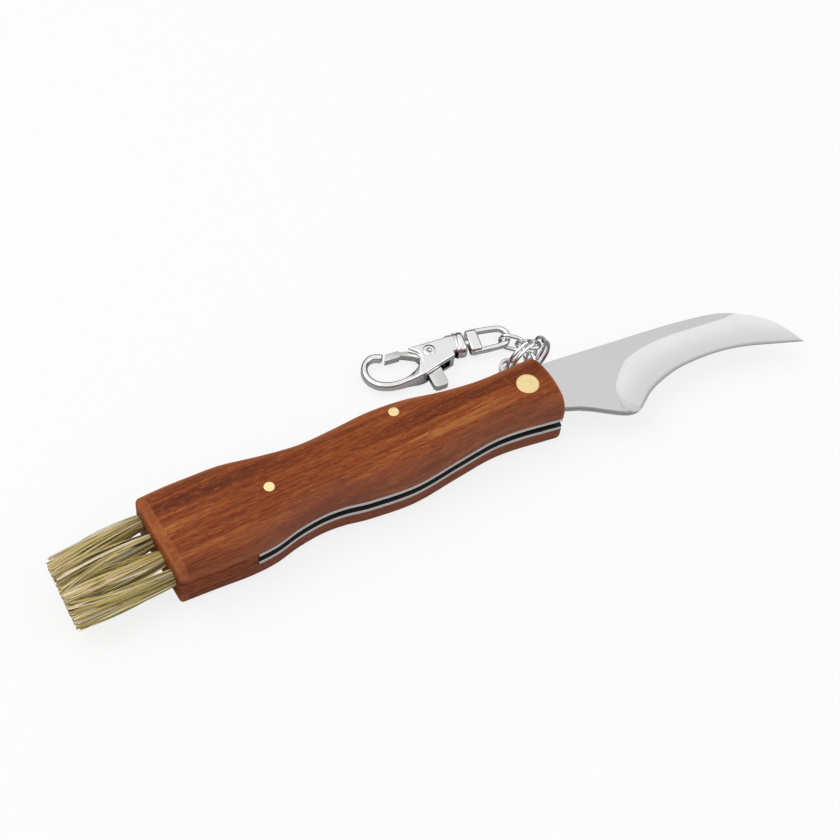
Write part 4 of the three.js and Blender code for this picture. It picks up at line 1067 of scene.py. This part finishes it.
def pin(name):
    """A pin whose faces follow the wood, a little proud of it: rings of growing radius on both
    faces, the outermost rounded down, joined by the shaft."""
    x, y, radius = PINS[name]
    plan = PIN_REACH_SHARES[:, None, None] * circle(radius, PIN_SIDES) + (x, y)
    along, aside = plan[..., 0], plan[..., 1]
    inside = np.minimum(back_at(along) - aside, aside - belly_at(along))
    level = HANDLE_THICKNESS - round_off(inside, EDGE_ROUND) - PIN_DROP[:, None]
    top = np.concatenate([plan, level[..., None]], -1)
    bottom = np.concatenate([plan, HANDLE_THICKNESS - level[..., None]], -1)[::-1]
    points = np.concatenate([top, bottom])
    share = np.clip((PIN_REACH_SHARES - PIN_RIM_SHARE) / (1 - PIN_RIM_SHARE), 0, 1)
    edge = np.repeat(np.concatenate([share, share[::-1]])[:, None], PIN_SIDES, axis=1)
    shell = (points, tube_faces(len(points), PIN_SIDES))
    return make_piece(name + "_head", [shell], 50, {"edge": edge})


# Blade


def blade():
    """Each face is a flat and a hollow grind. The grind is ruled from the grind line to the edge,
    and its height falls along the rule in a straight line less a shallow parabola. Where the line
    runs out over the spine, the rule starts at the spine. At the heel the fall is shared out over
    a short run, so the grinding fades into the flat."""
    spine = spline(along_blade(SPINE_SHARES), 16)
    rows, cols = GRIND_ROWS, GRIND_COLS
    grind = spread(spline(along_blade(GRIND_SHARES), CURVE_STEPS), rows)
    edge = spread(spline(along_blade(EDGE_SHARES), CURVE_STEPS), rows)
    fine = np.linspace(0, 1, RULE_SAMPLES)[:, None]
    rule_x = grind[:, 0] + (edge - grind)[:, 0] * fine
    rule_y = grind[:, 1] + (edge - grind)[:, 1] * fine
    above = rule_y > np.interp(rule_x, spine[:, 0], spine[:, 1])
    begin = above[:-1].mean(axis=0)
    meet = int(np.argmax(begin > 0))
    share = begin[:, None] + (1 - begin)[:, None] * np.linspace(0, 1, cols)
    ground = grind[:, None] + (edge - grind)[:, None] * share[..., None]
    run = np.linalg.norm(edge - grind, axis=1)
    depth = np.clip(run / HEEL_RUN, 0, 1)[:, None]
    fall = (BLADE_HALF - EDGE_HALF) * share + 4 * GRIND_HOLLOW * share * (1 - share)
    height = np.maximum(BLADE_HALF - fall * depth, EDGE_HALF)[..., None]
    turn = np.linspace(*np.radians(TANG_ARC), 20)
    tang = TANG_ROUND * np.stack([np.cos(turn), np.sin(turn)], -1)
    root = [(SPINE_SHARES[0][0] * BLADE_REACH, tang[-1][1])]
    rest = np.vstack([along_blade(RICASSO_SHARES), tang, root])
    back = spine[spine[:, 0] < ground[meet, 0, 0]]
    back = np.vstack([back, ground[meet, 0]])
    flat = np.vstack([back, ground[:meet, 0][::-1], rest])
    outer = np.vstack([rest, back])
    surface = np.concatenate([ground, height], -1)
    parts = []
    for side in (1, -1):
        face = np.hstack([flat, np.full((len(flat), 1), BLADE_HALF)]) * (1, 1, side)
        parts.append((face + (0, 0, MIDDLE), [list(range(len(flat)))]))
        hollow = surface * (1, 1, side) + (0, 0, MIDDLE)
        parts.append((hollow, grid_faces(rows, cols, round_cols=False).tolist()))
    walls = [
        np.hstack([outer, np.full((len(outer), 1), BLADE_HALF)]),
        surface[meet:, 0], surface[:, -1], surface[0], surface[-1],
        np.array([[*grind[0], BLADE_HALF], [*rest[0], BLADE_HALF]]),
    ]
    for wall in walls:
        band = np.stack([wall, wall * (1, 1, -1)]) + (0, 0, MIDDLE)
        parts.append((band, grid_faces(2, len(wall), round_cols=False).tolist()))
    return make_piece("ground_blade", parts, sharp=5, merge=WELD)


# Brush


def between(t, values):
    """The parabola through the three values at the brush's stations."""
    return np.polyval(np.polyfit(BRUSH_STATIONS, values, 2), t)


def tuft(index, settings):
    """Strands from a sunflower of roots. Along each, the tuft's middle and swell follow
    parabolas, the strand wanders by a slow sine, and its flat section narrows to the tip."""
    draw = np.random.default_rng(BRUSH_SEED + index)
    count, stations, sides = settings.strands, STRAND_STATIONS, STRAND_SIDES
    k = np.arange(count)[:, None]
    reach = TUFT_RADIUS * TUFT_FILL_SHARE * np.sqrt((k + 0.5) / count)
    turn = k * math.pi * (3 - math.sqrt(5))
    t = np.linspace(0, 1, stations)[None, :]
    place = TUFT_FIRST - index * TUFT_SPACING
    middle = TUFT_FIRST - (TUFT_COUNT - 1) * TUFT_SPACING / 2
    centre = middle - BRUSH_LEAN * t + (place - middle) * between(t, BRUSH_SPACING)

    def wander(size):
        phase = draw.uniform(0, TURN, (count, 1))
        pace = draw.uniform(*WANDER_PACES, (count, 1))
        return size * t * np.sin(phase + pace * math.pi * t)

    stray = draw.normal(0, STRAND_STRAY, (count, 1)) * t**STRAY_POWER
    swell = between(t, BRUSH_SWELL)
    y = centre + reach * np.cos(turn) * swell + wander(WANDER_ACROSS) + stray
    z = MIDDLE + reach * np.sin(turn) * swell + wander(WANDER_UP)
    limit = BRUSH_HALF * np.array([-1, 1])
    y = middle - BRUSH_LEAN * t + np.clip(y - middle + BRUSH_LEAN * t, *limit)
    short = settings.ragged / MM * draw.uniform(0, 1, (count, 1)) ** 2
    tip = -HANDLE_REACH - BRUSH_LENGTH + short + (y[:, -1:] - middle) * BRUSH_SLANT
    root = -HANDLE_REACH + TUFT_HOLE_SHOWN - STRAND_ROOT
    x = root + (tip - root) * t
    usual = settings.strand_width / MM / 2
    wide = usual * draw.uniform(*STRAND_WIDTH_SHARES, (count, 1))
    wide = wide * (1 - STRAND_TAPER_SHARE * t**3)
    thin = wide * draw.uniform(*STRAND_FLAT_SHARES, (count, 1))
    lean = draw.uniform(0, math.pi, (count, 1)) + draw.uniform(-1, 1, (count, 1)) * t
    around = np.arange(sides) * TURN / sides
    a = wide[..., None] * np.cos(around)
    b = thin[..., None] * np.sin(around)
    c, s = np.cos(lean)[..., None], np.sin(lean)[..., None]
    points = np.stack([
        np.broadcast_to(x[..., None], a.shape), y[..., None] + a * c - b * s,
        z[..., None] + a * s + b * c,
    ], -1)
    one = tube_faces(stations, sides)
    paler = TIP_PALER * (t**2)[..., None]
    shade_of = draw.normal(STRAND_SHADE, STRAND_SHADE_SPREAD, (count, 1, 1)) + paler
    shade_of = np.broadcast_to(np.clip(shade_of, 0, 1), points.shape[:3])
    parts = [(strand, one) for strand in points]
    return make_piece(f"straw_tuft_{index + 1}", parts, 60, {"shade": shade_of})


# Ring and chain


def unit(vector):
    return np.asarray(vector, float) / np.linalg.norm(vector)


def ring_frame():
    """Centre of the split ring, its direction along the handle, up, and its axis."""
    along = np.array([math.cos(RING_YAW), math.sin(RING_YAW), 0])
    up = np.array([0, 0, 1.0])
    centre = np.array([*LUG_CENTRE, MIDDLE]) + along * RING_RADIUS
    return centre, along, up, np.cross(along, up)


def split_ring():
    """A wire of nearly two turns: a circle that steps sideways by one pitch in the middle."""
    centre, along, up, axis = ring_frame()
    turn = np.linspace(RING_END_TURN, 2 - RING_END_TURN, RING_POINTS)
    step = np.clip((turn - 1 + RING_END_TURN) / (2 * RING_END_TURN), 0, 1)
    shift = step**2 * (3 - 2 * step) - 0.5
    angle = (RING_END_ANGLE + TURN * turn)[:, None]
    outward = along * np.cos(angle) + up * np.sin(angle)
    path = centre + outward * RING_RADIUS + axis * (shift * RING_PITCH)[:, None]
    ring = box_ring(RING_ROUND, RING_ROUND, RING_ROUND * RING_CORNER_SHARE, 4)
    points = sweep(path, axis, outward, ring)
    return make_piece("wire_ring", [(points, tube_faces(*points.shape[:2]))], 50)


def chain_frames():
    """Centre, forward, across and normal of each link, and where the last one ends."""
    centre, along, up, _ = ring_frame()
    end = centre + RING_RADIUS * (
        along * math.cos(RING_LINK_ANGLE) + up * math.sin(RING_LINK_ANGLE)
    )
    reach = RING_PITCH / 2 + RING_WIRE + LINK_WIRE + LINK_SLACK
    links = []
    for turns in LINK_TURNS:
        heading, pitch, roll = np.radians(turns)
        level = np.array([math.cos(heading), math.sin(heading), 0])
        forward = level * math.cos(pitch) + up * math.sin(pitch)
        side = np.array([-math.sin(heading), math.cos(heading), 0])
        across = side * math.cos(roll) + np.cross(forward, side) * math.sin(roll)
        start = end - forward * reach
        links.append((start + forward * LINK_LENGTH / 2, forward, across))
        end = start + forward * LINK_LENGTH
        reach = 2 * LINK_WIRE + LINK_SLACK
    return links, end


def chain_link(index):
    """A round wire along a slot-shaped path: two half circles joined by straight sides."""
    centre, forward, across = chain_frames()[0][index]
    bend = LINK_WIDTH / 2
    straight = (LINK_LENGTH - LINK_WIDTH) / 2
    turn = np.linspace(-TURN / 4, TURN / 4, LINK_POINTS)
    half = np.stack([np.cos(turn), np.sin(turn)], -1) * bend + (straight, 0)
    path = np.vstack([half, -half])
    spine = centre + forward * path[:, :1] + across * path[:, 1:]
    normal = np.cross(forward, across)
    outward = np.vstack([half - (straight, 0), -(half - (straight, 0))]) / bend
    outward = forward * outward[:, :1] + across * outward[:, 1:]
    points = sweep(spine, normal, outward, circle(LINK_ROUND, LINK_SIDES))
    faces = tube_faces(2 * LINK_POINTS, LINK_SIDES, closed=True)
    return make_piece(f"wire_link_{index + 1}", [(points, faces)], 80)


# Snap hook


def on_clasp(points):
    """Points given as (u, v, w) in the hook's own frame, in the model's."""
    along = clasp_way()
    across = np.array([-along[1], along[0], 0])
    end = chain_frames()[1]
    origin = np.array([end[0], end[1], CLASP_HALF])
    origin = origin - along * CLASP_HANG[0] - across * CLASP_HANG[1]
    points = np.asarray(points, float)
    return (
        origin + along * points[..., 0:1] + across * points[..., 1:2]
        + np.array([0, 0, 1.0]) * points[..., 2:3]
    )


def clasp_way():
    """Direction along the hook, towards the swivel."""
    return np.array([math.cos(CLASP_ANGLE), math.sin(CLASP_ANGLE), 0])


def block(name, start, end, half_v, half_w, corner, edge):
    """A block along u: rounded rectangles that draw in by a quarter circle at both ends."""
    turn = np.linspace(0, TURN / 4, 6)
    step, inset = edge * (1 - np.cos(turn)), edge * (1 - np.sin(turn))
    u = np.concatenate([start + step, end - step[::-1]])
    inset = np.concatenate([inset, inset[::-1]])
    rings = box_ring(half_v - inset, half_w - inset, np.maximum(corner - inset, 0.05))
    centres = np.stack([u, np.full_like(u, COLLAR_MIDDLE), np.zeros_like(u)], -1)
    points = sweep(centres, (0, 1, 0), (0, 0, 1), rings)
    return make_piece(name, [(on_clasp(points), tube_faces(*points.shape[:2]))], 30)


def rod(name, start, end, radius, sides=32):
    """A round bar on the swivel's axis."""
    centres = np.array([(start, COLLAR_MIDDLE, 0), (end, COLLAR_MIDDLE, 0)], float)
    points = sweep(centres, (0, 1, 0), (0, 0, 1), circle(radius, sides))
    return make_piece(name, [(on_clasp(points), tube_faces(2, sides))], 30)


def hook_body():
    """Hook and shank: rounded rectangles on ribs that run from the inner curve to the outer
    one, flat and broad at the shank and nearly round along the hook."""
    ribs = spline(HOOK_RIBS, 10)
    inner, outer = ribs[:, 0:2], ribs[:, 2:4]
    half_w, corner = ribs[:, 4], ribs[:, 5]
    middle, across = (inner + outer) / 2, inner - outer
    width = np.linalg.norm(across, axis=1)
    shrink = np.ones(len(ribs))
    shrink[-len(HOOK_TIP_SHARES):] = HOOK_TIP_SHARES
    rings = box_ring(width / 2 * shrink, half_w * shrink, corner, 6)
    flat = np.zeros((len(ribs), 1))
    points = sweep(
        np.hstack([middle, flat]), np.hstack([across / width[:, None], flat]), (0, 0, 1), rings
    )
    body = make_piece("cast_hook", [(on_clasp(points), tube_faces(*points.shape[:2]))], 40)
    beak = make_piece("beak", [prism_of(BEAK, -CLASP_HALF, CLASP_HALF, on_clasp)])
    soften(beak, EDGE_SOFT)
    blocks = [block(name, *sizes) for name, sizes in HOOK_BLOCKS.items()]
    combine(body, [beak, *blocks], "UNION")
    slot = make_piece("slot", [prism_of(LEVER_SLOT, -SLOT_HALF, SLOT_HALF, on_clasp)])
    bores = [rod(name, *sizes) for name, sizes in HOOK_BORES.items()]
    return combine(body, [slot, *bores, seat(1), seat(-1)], "DIFFERENCE")


def seat(side):
    """The round recess in one face of the hook that takes the rivet's head."""
    low, high = sorted((side * (CLASP_HALF - SEAT_DEPTH), side * (CLASP_HALF + 1)))
    ring = circle(RIVET_HEAD + SEAT_GAP, 40)
    return make_piece("seat", [prism_of(ring, low, high, on_clasp)])


def gate():
    """Gate and thumb lever as one plate, turning on the rivet: the gate's outline round the hub,
    and the lever's, turned by its tilt."""
    quarter = np.linspace(0, TURN / 4, 8)[:, None]
    swing = np.hstack([np.cos(quarter), np.sin(quarter)])
    back, end = LEVER_SIDE - LEVER_WIDTH, LEVER_CORNER - LEVER_LENGTH
    lever = np.vstack([
        [(LEVER_SIDE, 0), (-LEVER_SIDE, 0), (-LEVER_SIDE, -HUB_RADIUS), (back, -LEVER_NECK)],
        np.array([back + LEVER_CORNER, end]) - LEVER_CORNER * swing,
        np.array([LEVER_SIDE - LEVER_CORNER, end]) + LEVER_CORNER * swing[::-1] * (1, -1),
    ])
    c, s = math.cos(LEVER_TILT), math.sin(LEVER_TILT)
    lever = lever @ np.array([(c, s), (-s, c)])
    tongue = np.vstack([GATE_LOWER, [(0, -HUB_RADIUS), (0, HUB_RADIUS)], GATE_UPPER])
    inner = LEVER_HALF - HUB_INSET
    plate = make_piece("thumb_gate", [prism_of(lever, -LEVER_HALF, LEVER_HALF, on_clasp)], 30)
    hub = make_piece("hub", [prism_of(circle(HUB_RADIUS, 40), -inner, inner, on_clasp)], 30)
    arm = make_piece("arm", [prism_of(tongue, -inner, inner, on_clasp)], 30)
    combine(plate, [hub, arm], "UNION")
    return soften(plate, EDGE_SOFT)


def rivet():
    """Turned rivet: a domed head with a ring groove on each side and the shaft between."""
    one = np.array(RIVET_RINGS)
    radius, drop, recess_shade = np.vstack([one, one[::-1]]).T[:, :, None]
    side = np.repeat([1, -1], len(one))[:, None]
    ring = circle(1, 40)
    points = np.stack([
        radius * ring[:, 0], radius * ring[:, 1],
        np.repeat(side * (CLASP_HALF - drop), len(ring), axis=1),
    ], -1)
    # Painted shade in the rivet's dimple, groove and rim.
    hollow = np.repeat(recess_shade, len(ring), axis=1)
    shell = (on_clasp(points), tube_faces(len(radius), len(ring)))
    return make_piece("turned_rivet", [shell], 40, {"hollow": hollow})


def coil():
    """A helix of thin wire along u."""
    start, end, v, radius, wire, turns = COIL
    share = np.linspace(0, 1, COIL_STEPS * turns)
    angle = share * TURN * turns
    flat = np.zeros_like(angle)
    outward = np.stack([flat, np.cos(angle), np.sin(angle)], -1)
    path = np.stack([start + (end - start) * share, flat + v, flat], -1) + outward * radius
    points = sweep(path, (1, 0, 0), outward, circle(wire, COIL_SIDES))
    return make_piece("wire_coil", [(on_clasp(points), tube_faces(*points.shape[:2]))], 60)


def swivel_eye():
    """A flat-sided wire round a long loop, a broad base and the post that turns in the
    collar."""
    wire = EYE_WIRE / 2
    half, nose = EYE_HALF - wire, EYE_NOSE - wire
    turn = np.linspace(-TURN / 4, TURN / 4, 30)
    arc = np.stack([np.cos(turn), np.sin(turn)], -1) * nose + (EYE_TIP - EYE_NOSE, 0)
    t = np.linspace(0, 1, 26)[:, None]
    start = np.array([EYE_START + 1, -half])
    bow = np.array([(EYE_START + EYE_TIP) / 2, -half])
    arm = (1 - t) ** 2 * start + 2 * t * (1 - t) * bow + t**2 * arc[0]
    path = np.vstack([arm[:-1], arc, (arm[:-1] * (1, -1))[::-1]])
    path = np.hstack([path + (0, COLLAR_MIDDLE), np.zeros((len(path), 1))])
    outward = outward_of(path, (0, 0, 1))
    points = sweep(path, outward, (0, 0, 1), box_ring(wire, EYE_HALF_THICKNESS, EYE_CORNER, 4))
    loop = make_piece("cast_eye", [(on_clasp(points), tube_faces(*points.shape[:2]))], 40)
    rods = [rod(name, *sizes) for name, sizes in EYE_RODS.items()]
    return combine(loop, [block("base", *EYE_BASE), *rods], "UNION")


# Operators


class KNIFE_OT_scales(bpy.types.Operator):
    """Make the two wooden scales and the core between them at the butt"""

    bl_idname = "knife.scales"
    bl_label = "Scales and butt"

    def execute(self, context):
        s = settings_of(context, "handle")
        top = wood("Rosewood, upper scale", s, 0.4)
        # Painted shade: the lower scale and the butt core are darker copies of the same wood.
        bottom = wood("Rosewood, lower scale", s, 1.7, 0.06)
        core = wood("Rosewood, butt core", s, 2.9, 0.12)
        dress(scale("rosewood_scale_top", s, False), top, "handle", "wood", "scale_top")
        dress(scale("rosewood_scale_bottom", s, True), bottom, "handle", "wood", "scale_bottom")
        dress(butt_block(s), core, "handle", "end_wood", "butt_block")
        return {"FINISHED"}


class KNIFE_OT_liners(bpy.types.Operator):
    """Make the two steel liners and the back spring"""

    bl_idname = "knife.liners"
    bl_label = "Liners and spring"

    def execute(self, context):
        s = settings_of(context, "handle")
        metal = liner_steel("Liner steel", s)
        # The back spring takes the well's painted shade as its colour.
        dark = steel("Spring steel", s.well_shade, 0.4)
        dress(liner("steel_liner_top", WELL_HIGH, CORE_HIGH), metal, "handle", "steel",
              "liner_top")
        dress(liner("steel_liner_bottom", CORE_LOW, WELL_LOW), metal, "handle", "steel",
              "liner_bottom")
        dress(back_spring(), dark, "handle", "steel", "back_spring")
        return {"FINISHED"}


class KNIFE_OT_pins(bpy.types.Operator):
    """Make the pivot pin and the two small pins"""

    bl_idname = "knife.pins"
    bl_label = "Brass pins"

    def execute(self, context):
        s = settings_of(context, "handle")
        metal = brass("Pin brass", s)
        for name in PINS:
            dress(pin(name), metal, "handle", "brass", name)
        return {"FINISHED"}


class KNIFE_OT_blade(bpy.types.Operator):
    """Make the hollow-ground blade"""

    bl_idname = "knife.blade"
    bl_label = "Blade"

    def execute(self, context):
        s = settings_of(context, "blade")
        metal = blade_steel("Blade steel", s)
        dress(blade(), metal, "blade", "blade_steel", "blade")
        return {"FINISHED"}


class KNIFE_OT_brush(bpy.types.Operator):
    """Make the four tufts of the brush"""

    bl_idname = "knife.brush"
    bl_label = "Brush"

    def execute(self, context):
        s = settings_of(context, "brush")
        strands = straw("Dry straw", s)
        for index in range(TUFT_COUNT):
            dress(tuft(index, s), strands, "handle", "bristle", f"tuft_{index + 1}")
        return {"FINISHED"}


class KNIFE_OT_chain(bpy.types.Operator):
    """Make the split ring and the four links"""

    bl_idname = "knife.chain"
    bl_label = "Ring and chain"

    def execute(self, context):
        metal = nickel("Wire nickel", settings_of(context, "hook").nickel, 0.1)
        dress(split_ring(), metal, "ring", "nickel", "split_ring")
        for index in range(len(LINK_TURNS)):
            body, node = f"link_{index + 1}", f"chain_link_{index + 1}"
            dress(chain_link(index), metal, body, "nickel", node)
        return {"FINISHED"}


class KNIFE_OT_hook(bpy.types.Operator):
    """Make the snap hook: body, swivel eye, gate, rivet and the gate's spring"""

    bl_idname = "knife.hook"
    bl_label = "Snap hook"

    def execute(self, context):
        s = settings_of(context, "hook")
        cast = nickel("Cast nickel", s.nickel, 0.1)
        pad = nickel("Satin nickel", s.satin, 0.26)
        wire = steel("Coil steel", s.spring, 0.24, COIL_LINES)
        dress(hook_body(), cast, "clasp", "nickel", "clasp_body")
        dress(swivel_eye(), cast, "eye", "nickel", "swivel_eye")
        dress(gate(), pad, "gate", "nickel", "gate_lever")
        dress(rivet(), cast, "clasp", "nickel", "gate_rivet")
        spring = dress(coil(), wire, "clasp", "steel", "gate_spring")
        anchor = on_clasp(np.array([COIL[1], COIL[2], 0])) * MM
        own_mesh(spring)
        return {"FINISHED"}


class KNIFE_OT_stage(bpy.types.Operator):
    """Set the floor, the soft light and the camera"""

    bl_idname = "knife.stage"
    bl_label = "Stage"

    def execute(self, context):
        s = settings_of(context, "stage")
        make_floor(s)
        make_world(s)
        for key, (name, size, place) in LAMPS.items():
            make_lamp(name, getattr(s, key), size, place)
        make_camera()
        context.scene.view_settings.view_transform = "Standard"
        return {"FINISHED"}


def make_floor(settings):
    """A wide pale floor that keeps the shadow. The camera sees it glow towards white, and
    metal sees it darker."""
    corners = np.array([(-1, -1, 0), (1, -1, 0), (1, 1, 0), (-1, 1, 0)], float) * FLOOR_HALF
    floor = make_piece("floor", [(corners - (0, 0, FLOOR_DROP), [[0, 1, 2, 3]])])
    f = Finish("Pale floor")
    cloud = f.noise(f.place((3, 3, 3)), 2)
    colour = f.mix(cloud, tinted(settings.floor, FLOOR_CLOUD_SHARE), settings.floor)
    matt = f.node("ShaderNodeBsdfDiffuse", {}, {"Color": colour})
    glow = f.node("ShaderNodeEmission", {}, {"Color": (1, 1, 1), "Strength": 1.0})
    camera = f.node("ShaderNodeLightPath") * FLOOR_GLOW_SHARE
    glossy = f.node("ShaderNodeLightPath", output=3) * FLOOR_DARK_SHARE
    dark = f.node("ShaderNodeBsdfDiffuse", {}, {"Color": FLOOR_DARK})
    matt = f.node("ShaderNodeMixShader", {}, {0: glossy, 1: matt, 2: dark})
    mixed = f.node("ShaderNodeMixShader", {}, {0: camera, 1: matt, 2: glow})
    f.tree.links.new(mixed.socket, f.tree.nodes["Material Output"].inputs["Surface"])
    floor.data.materials.append(f.material)


def make_world(settings):
    """White where the camera or a glossy or clear surface looks, soft light elsewhere. Metal
    sees the room round it darker up to where the lamps are."""
    world = bpy.data.worlds.new("Studio")
    world.use_nodes = True
    bpy.context.scene.world = world
    world.node_tree.nodes.clear()
    f = Finish("", world.node_tree)
    camera = f.node("ShaderNodeLightPath", output=0)
    glossy = f.node("ShaderNodeLightPath", output=3)
    clear = f.node("ShaderNodeLightPath", output=6)
    way = f.node("ShaderNodeTexCoord", output=0)
    up = f.node("ShaderNodeSeparateXYZ", {}, {0: way}, 2)
    band = (1 - up.smooth(*ROOM_TOP)) * glossy
    seen = (camera + glossy + clear).clamped()
    strength = seen + (1 - seen) * settings.sky
    colour = f.mix(band, (1, 1, 1), ROOM)
    light = f.node("ShaderNodeBackground", {}, {"Color": colour, "Strength": strength})
    output = f.tree.nodes.new("ShaderNodeOutputWorld")
    f.tree.links.new(light.socket, output.inputs["Surface"])


def make_lamp(name, power, size, place):
    """A square lamp turned towards the knife."""
    lamp = bpy.data.lights.new(name, "AREA")
    lamp.shape = "SQUARE"
    lamp.size = size
    lamp.energy = power
    holder = bpy.data.objects.new(name, lamp)
    way = unit(np.subtract(place, LAMP_AIM))
    side = unit(np.cross((0, 0, 1), way))
    turn = np.stack([side, np.cross(way, side), way], -1)
    matrix = np.eye(4)
    matrix[:3, :3], matrix[:3, 3] = turn, place
    holder.matrix_world = Matrix(matrix.tolist())
    bpy.context.scene.collection.objects.link(holder)


def make_camera():
    """The camera at the photograph's angle: its right, up and back directions and its place."""
    lens = bpy.data.cameras.new("Camera")
    lens.lens = 80
    lens.sensor_width = 36
    lens.clip_start = 0.01
    lens.clip_end = 20
    camera = bpy.data.objects.new("Camera", lens)
    matrix = np.eye(4)
    matrix[:3] = np.stack([CAMERA_RIGHT, CAMERA_UP, CAMERA_BACK, CAMERA_PLACE], -1)
    camera.matrix_world = Matrix(matrix.tolist())
    bpy.context.scene.collection.objects.link(camera)
    bpy.context.scene.camera = camera


GROUPS = {
    "handle": HandleSettings,
    "blade": BladeSettings,
    "brush": BrushSettings,
    "hook": HookSettings,
    "stage": StageSettings,
}
OPERATORS = [
    KNIFE_OT_scales, KNIFE_OT_liners, KNIFE_OT_pins, KNIFE_OT_blade, KNIFE_OT_brush,
    KNIFE_OT_chain, KNIFE_OT_hook, KNIFE_OT_stage,
]


class KNIFE_PT_panel(bpy.types.Panel):
    """Sizes, colours and the steps that make the knife"""

    bl_idname = "KNIFE_PT_panel"
    bl_label = "Mushroom knife"
    bl_space_type = "VIEW_3D"
    bl_region_type = "UI"
    bl_category = "Knife"

    def draw(self, context):
        for name, group in GROUPS.items():
            box = self.layout.box()
            box.label(text=name.capitalize())
            for key in group.__annotations__:
                box.prop(settings_of(context, name), key)
        for operator in OPERATORS:
            self.layout.operator(operator.bl_idname)


def register():
    for kind in [*GROUPS.values(), *OPERATORS, KNIFE_PT_panel]:
        bpy.utils.register_class(kind)
    for name, group in GROUPS.items():
        setattr(bpy.types.Scene, "knife_" + name, PointerProperty(type=group))


def unregister():
    for name in GROUPS:
        delattr(bpy.types.Scene, "knife_" + name)
    for kind in [KNIFE_PT_panel, *OPERATORS[::-1], *GROUPS.values()]:
        bpy.utils.unregister_class(kind)


def main():
    register()
    bpy.ops.knife.scales()
    bpy.ops.knife.liners()
    bpy.ops.knife.pins()
    bpy.ops.knife.blade()
    bpy.ops.knife.brush()
    bpy.ops.knife.chain()
    bpy.ops.knife.hook()
    bpy.ops.knife.stage()


if __name__ == "__main__":
    main()
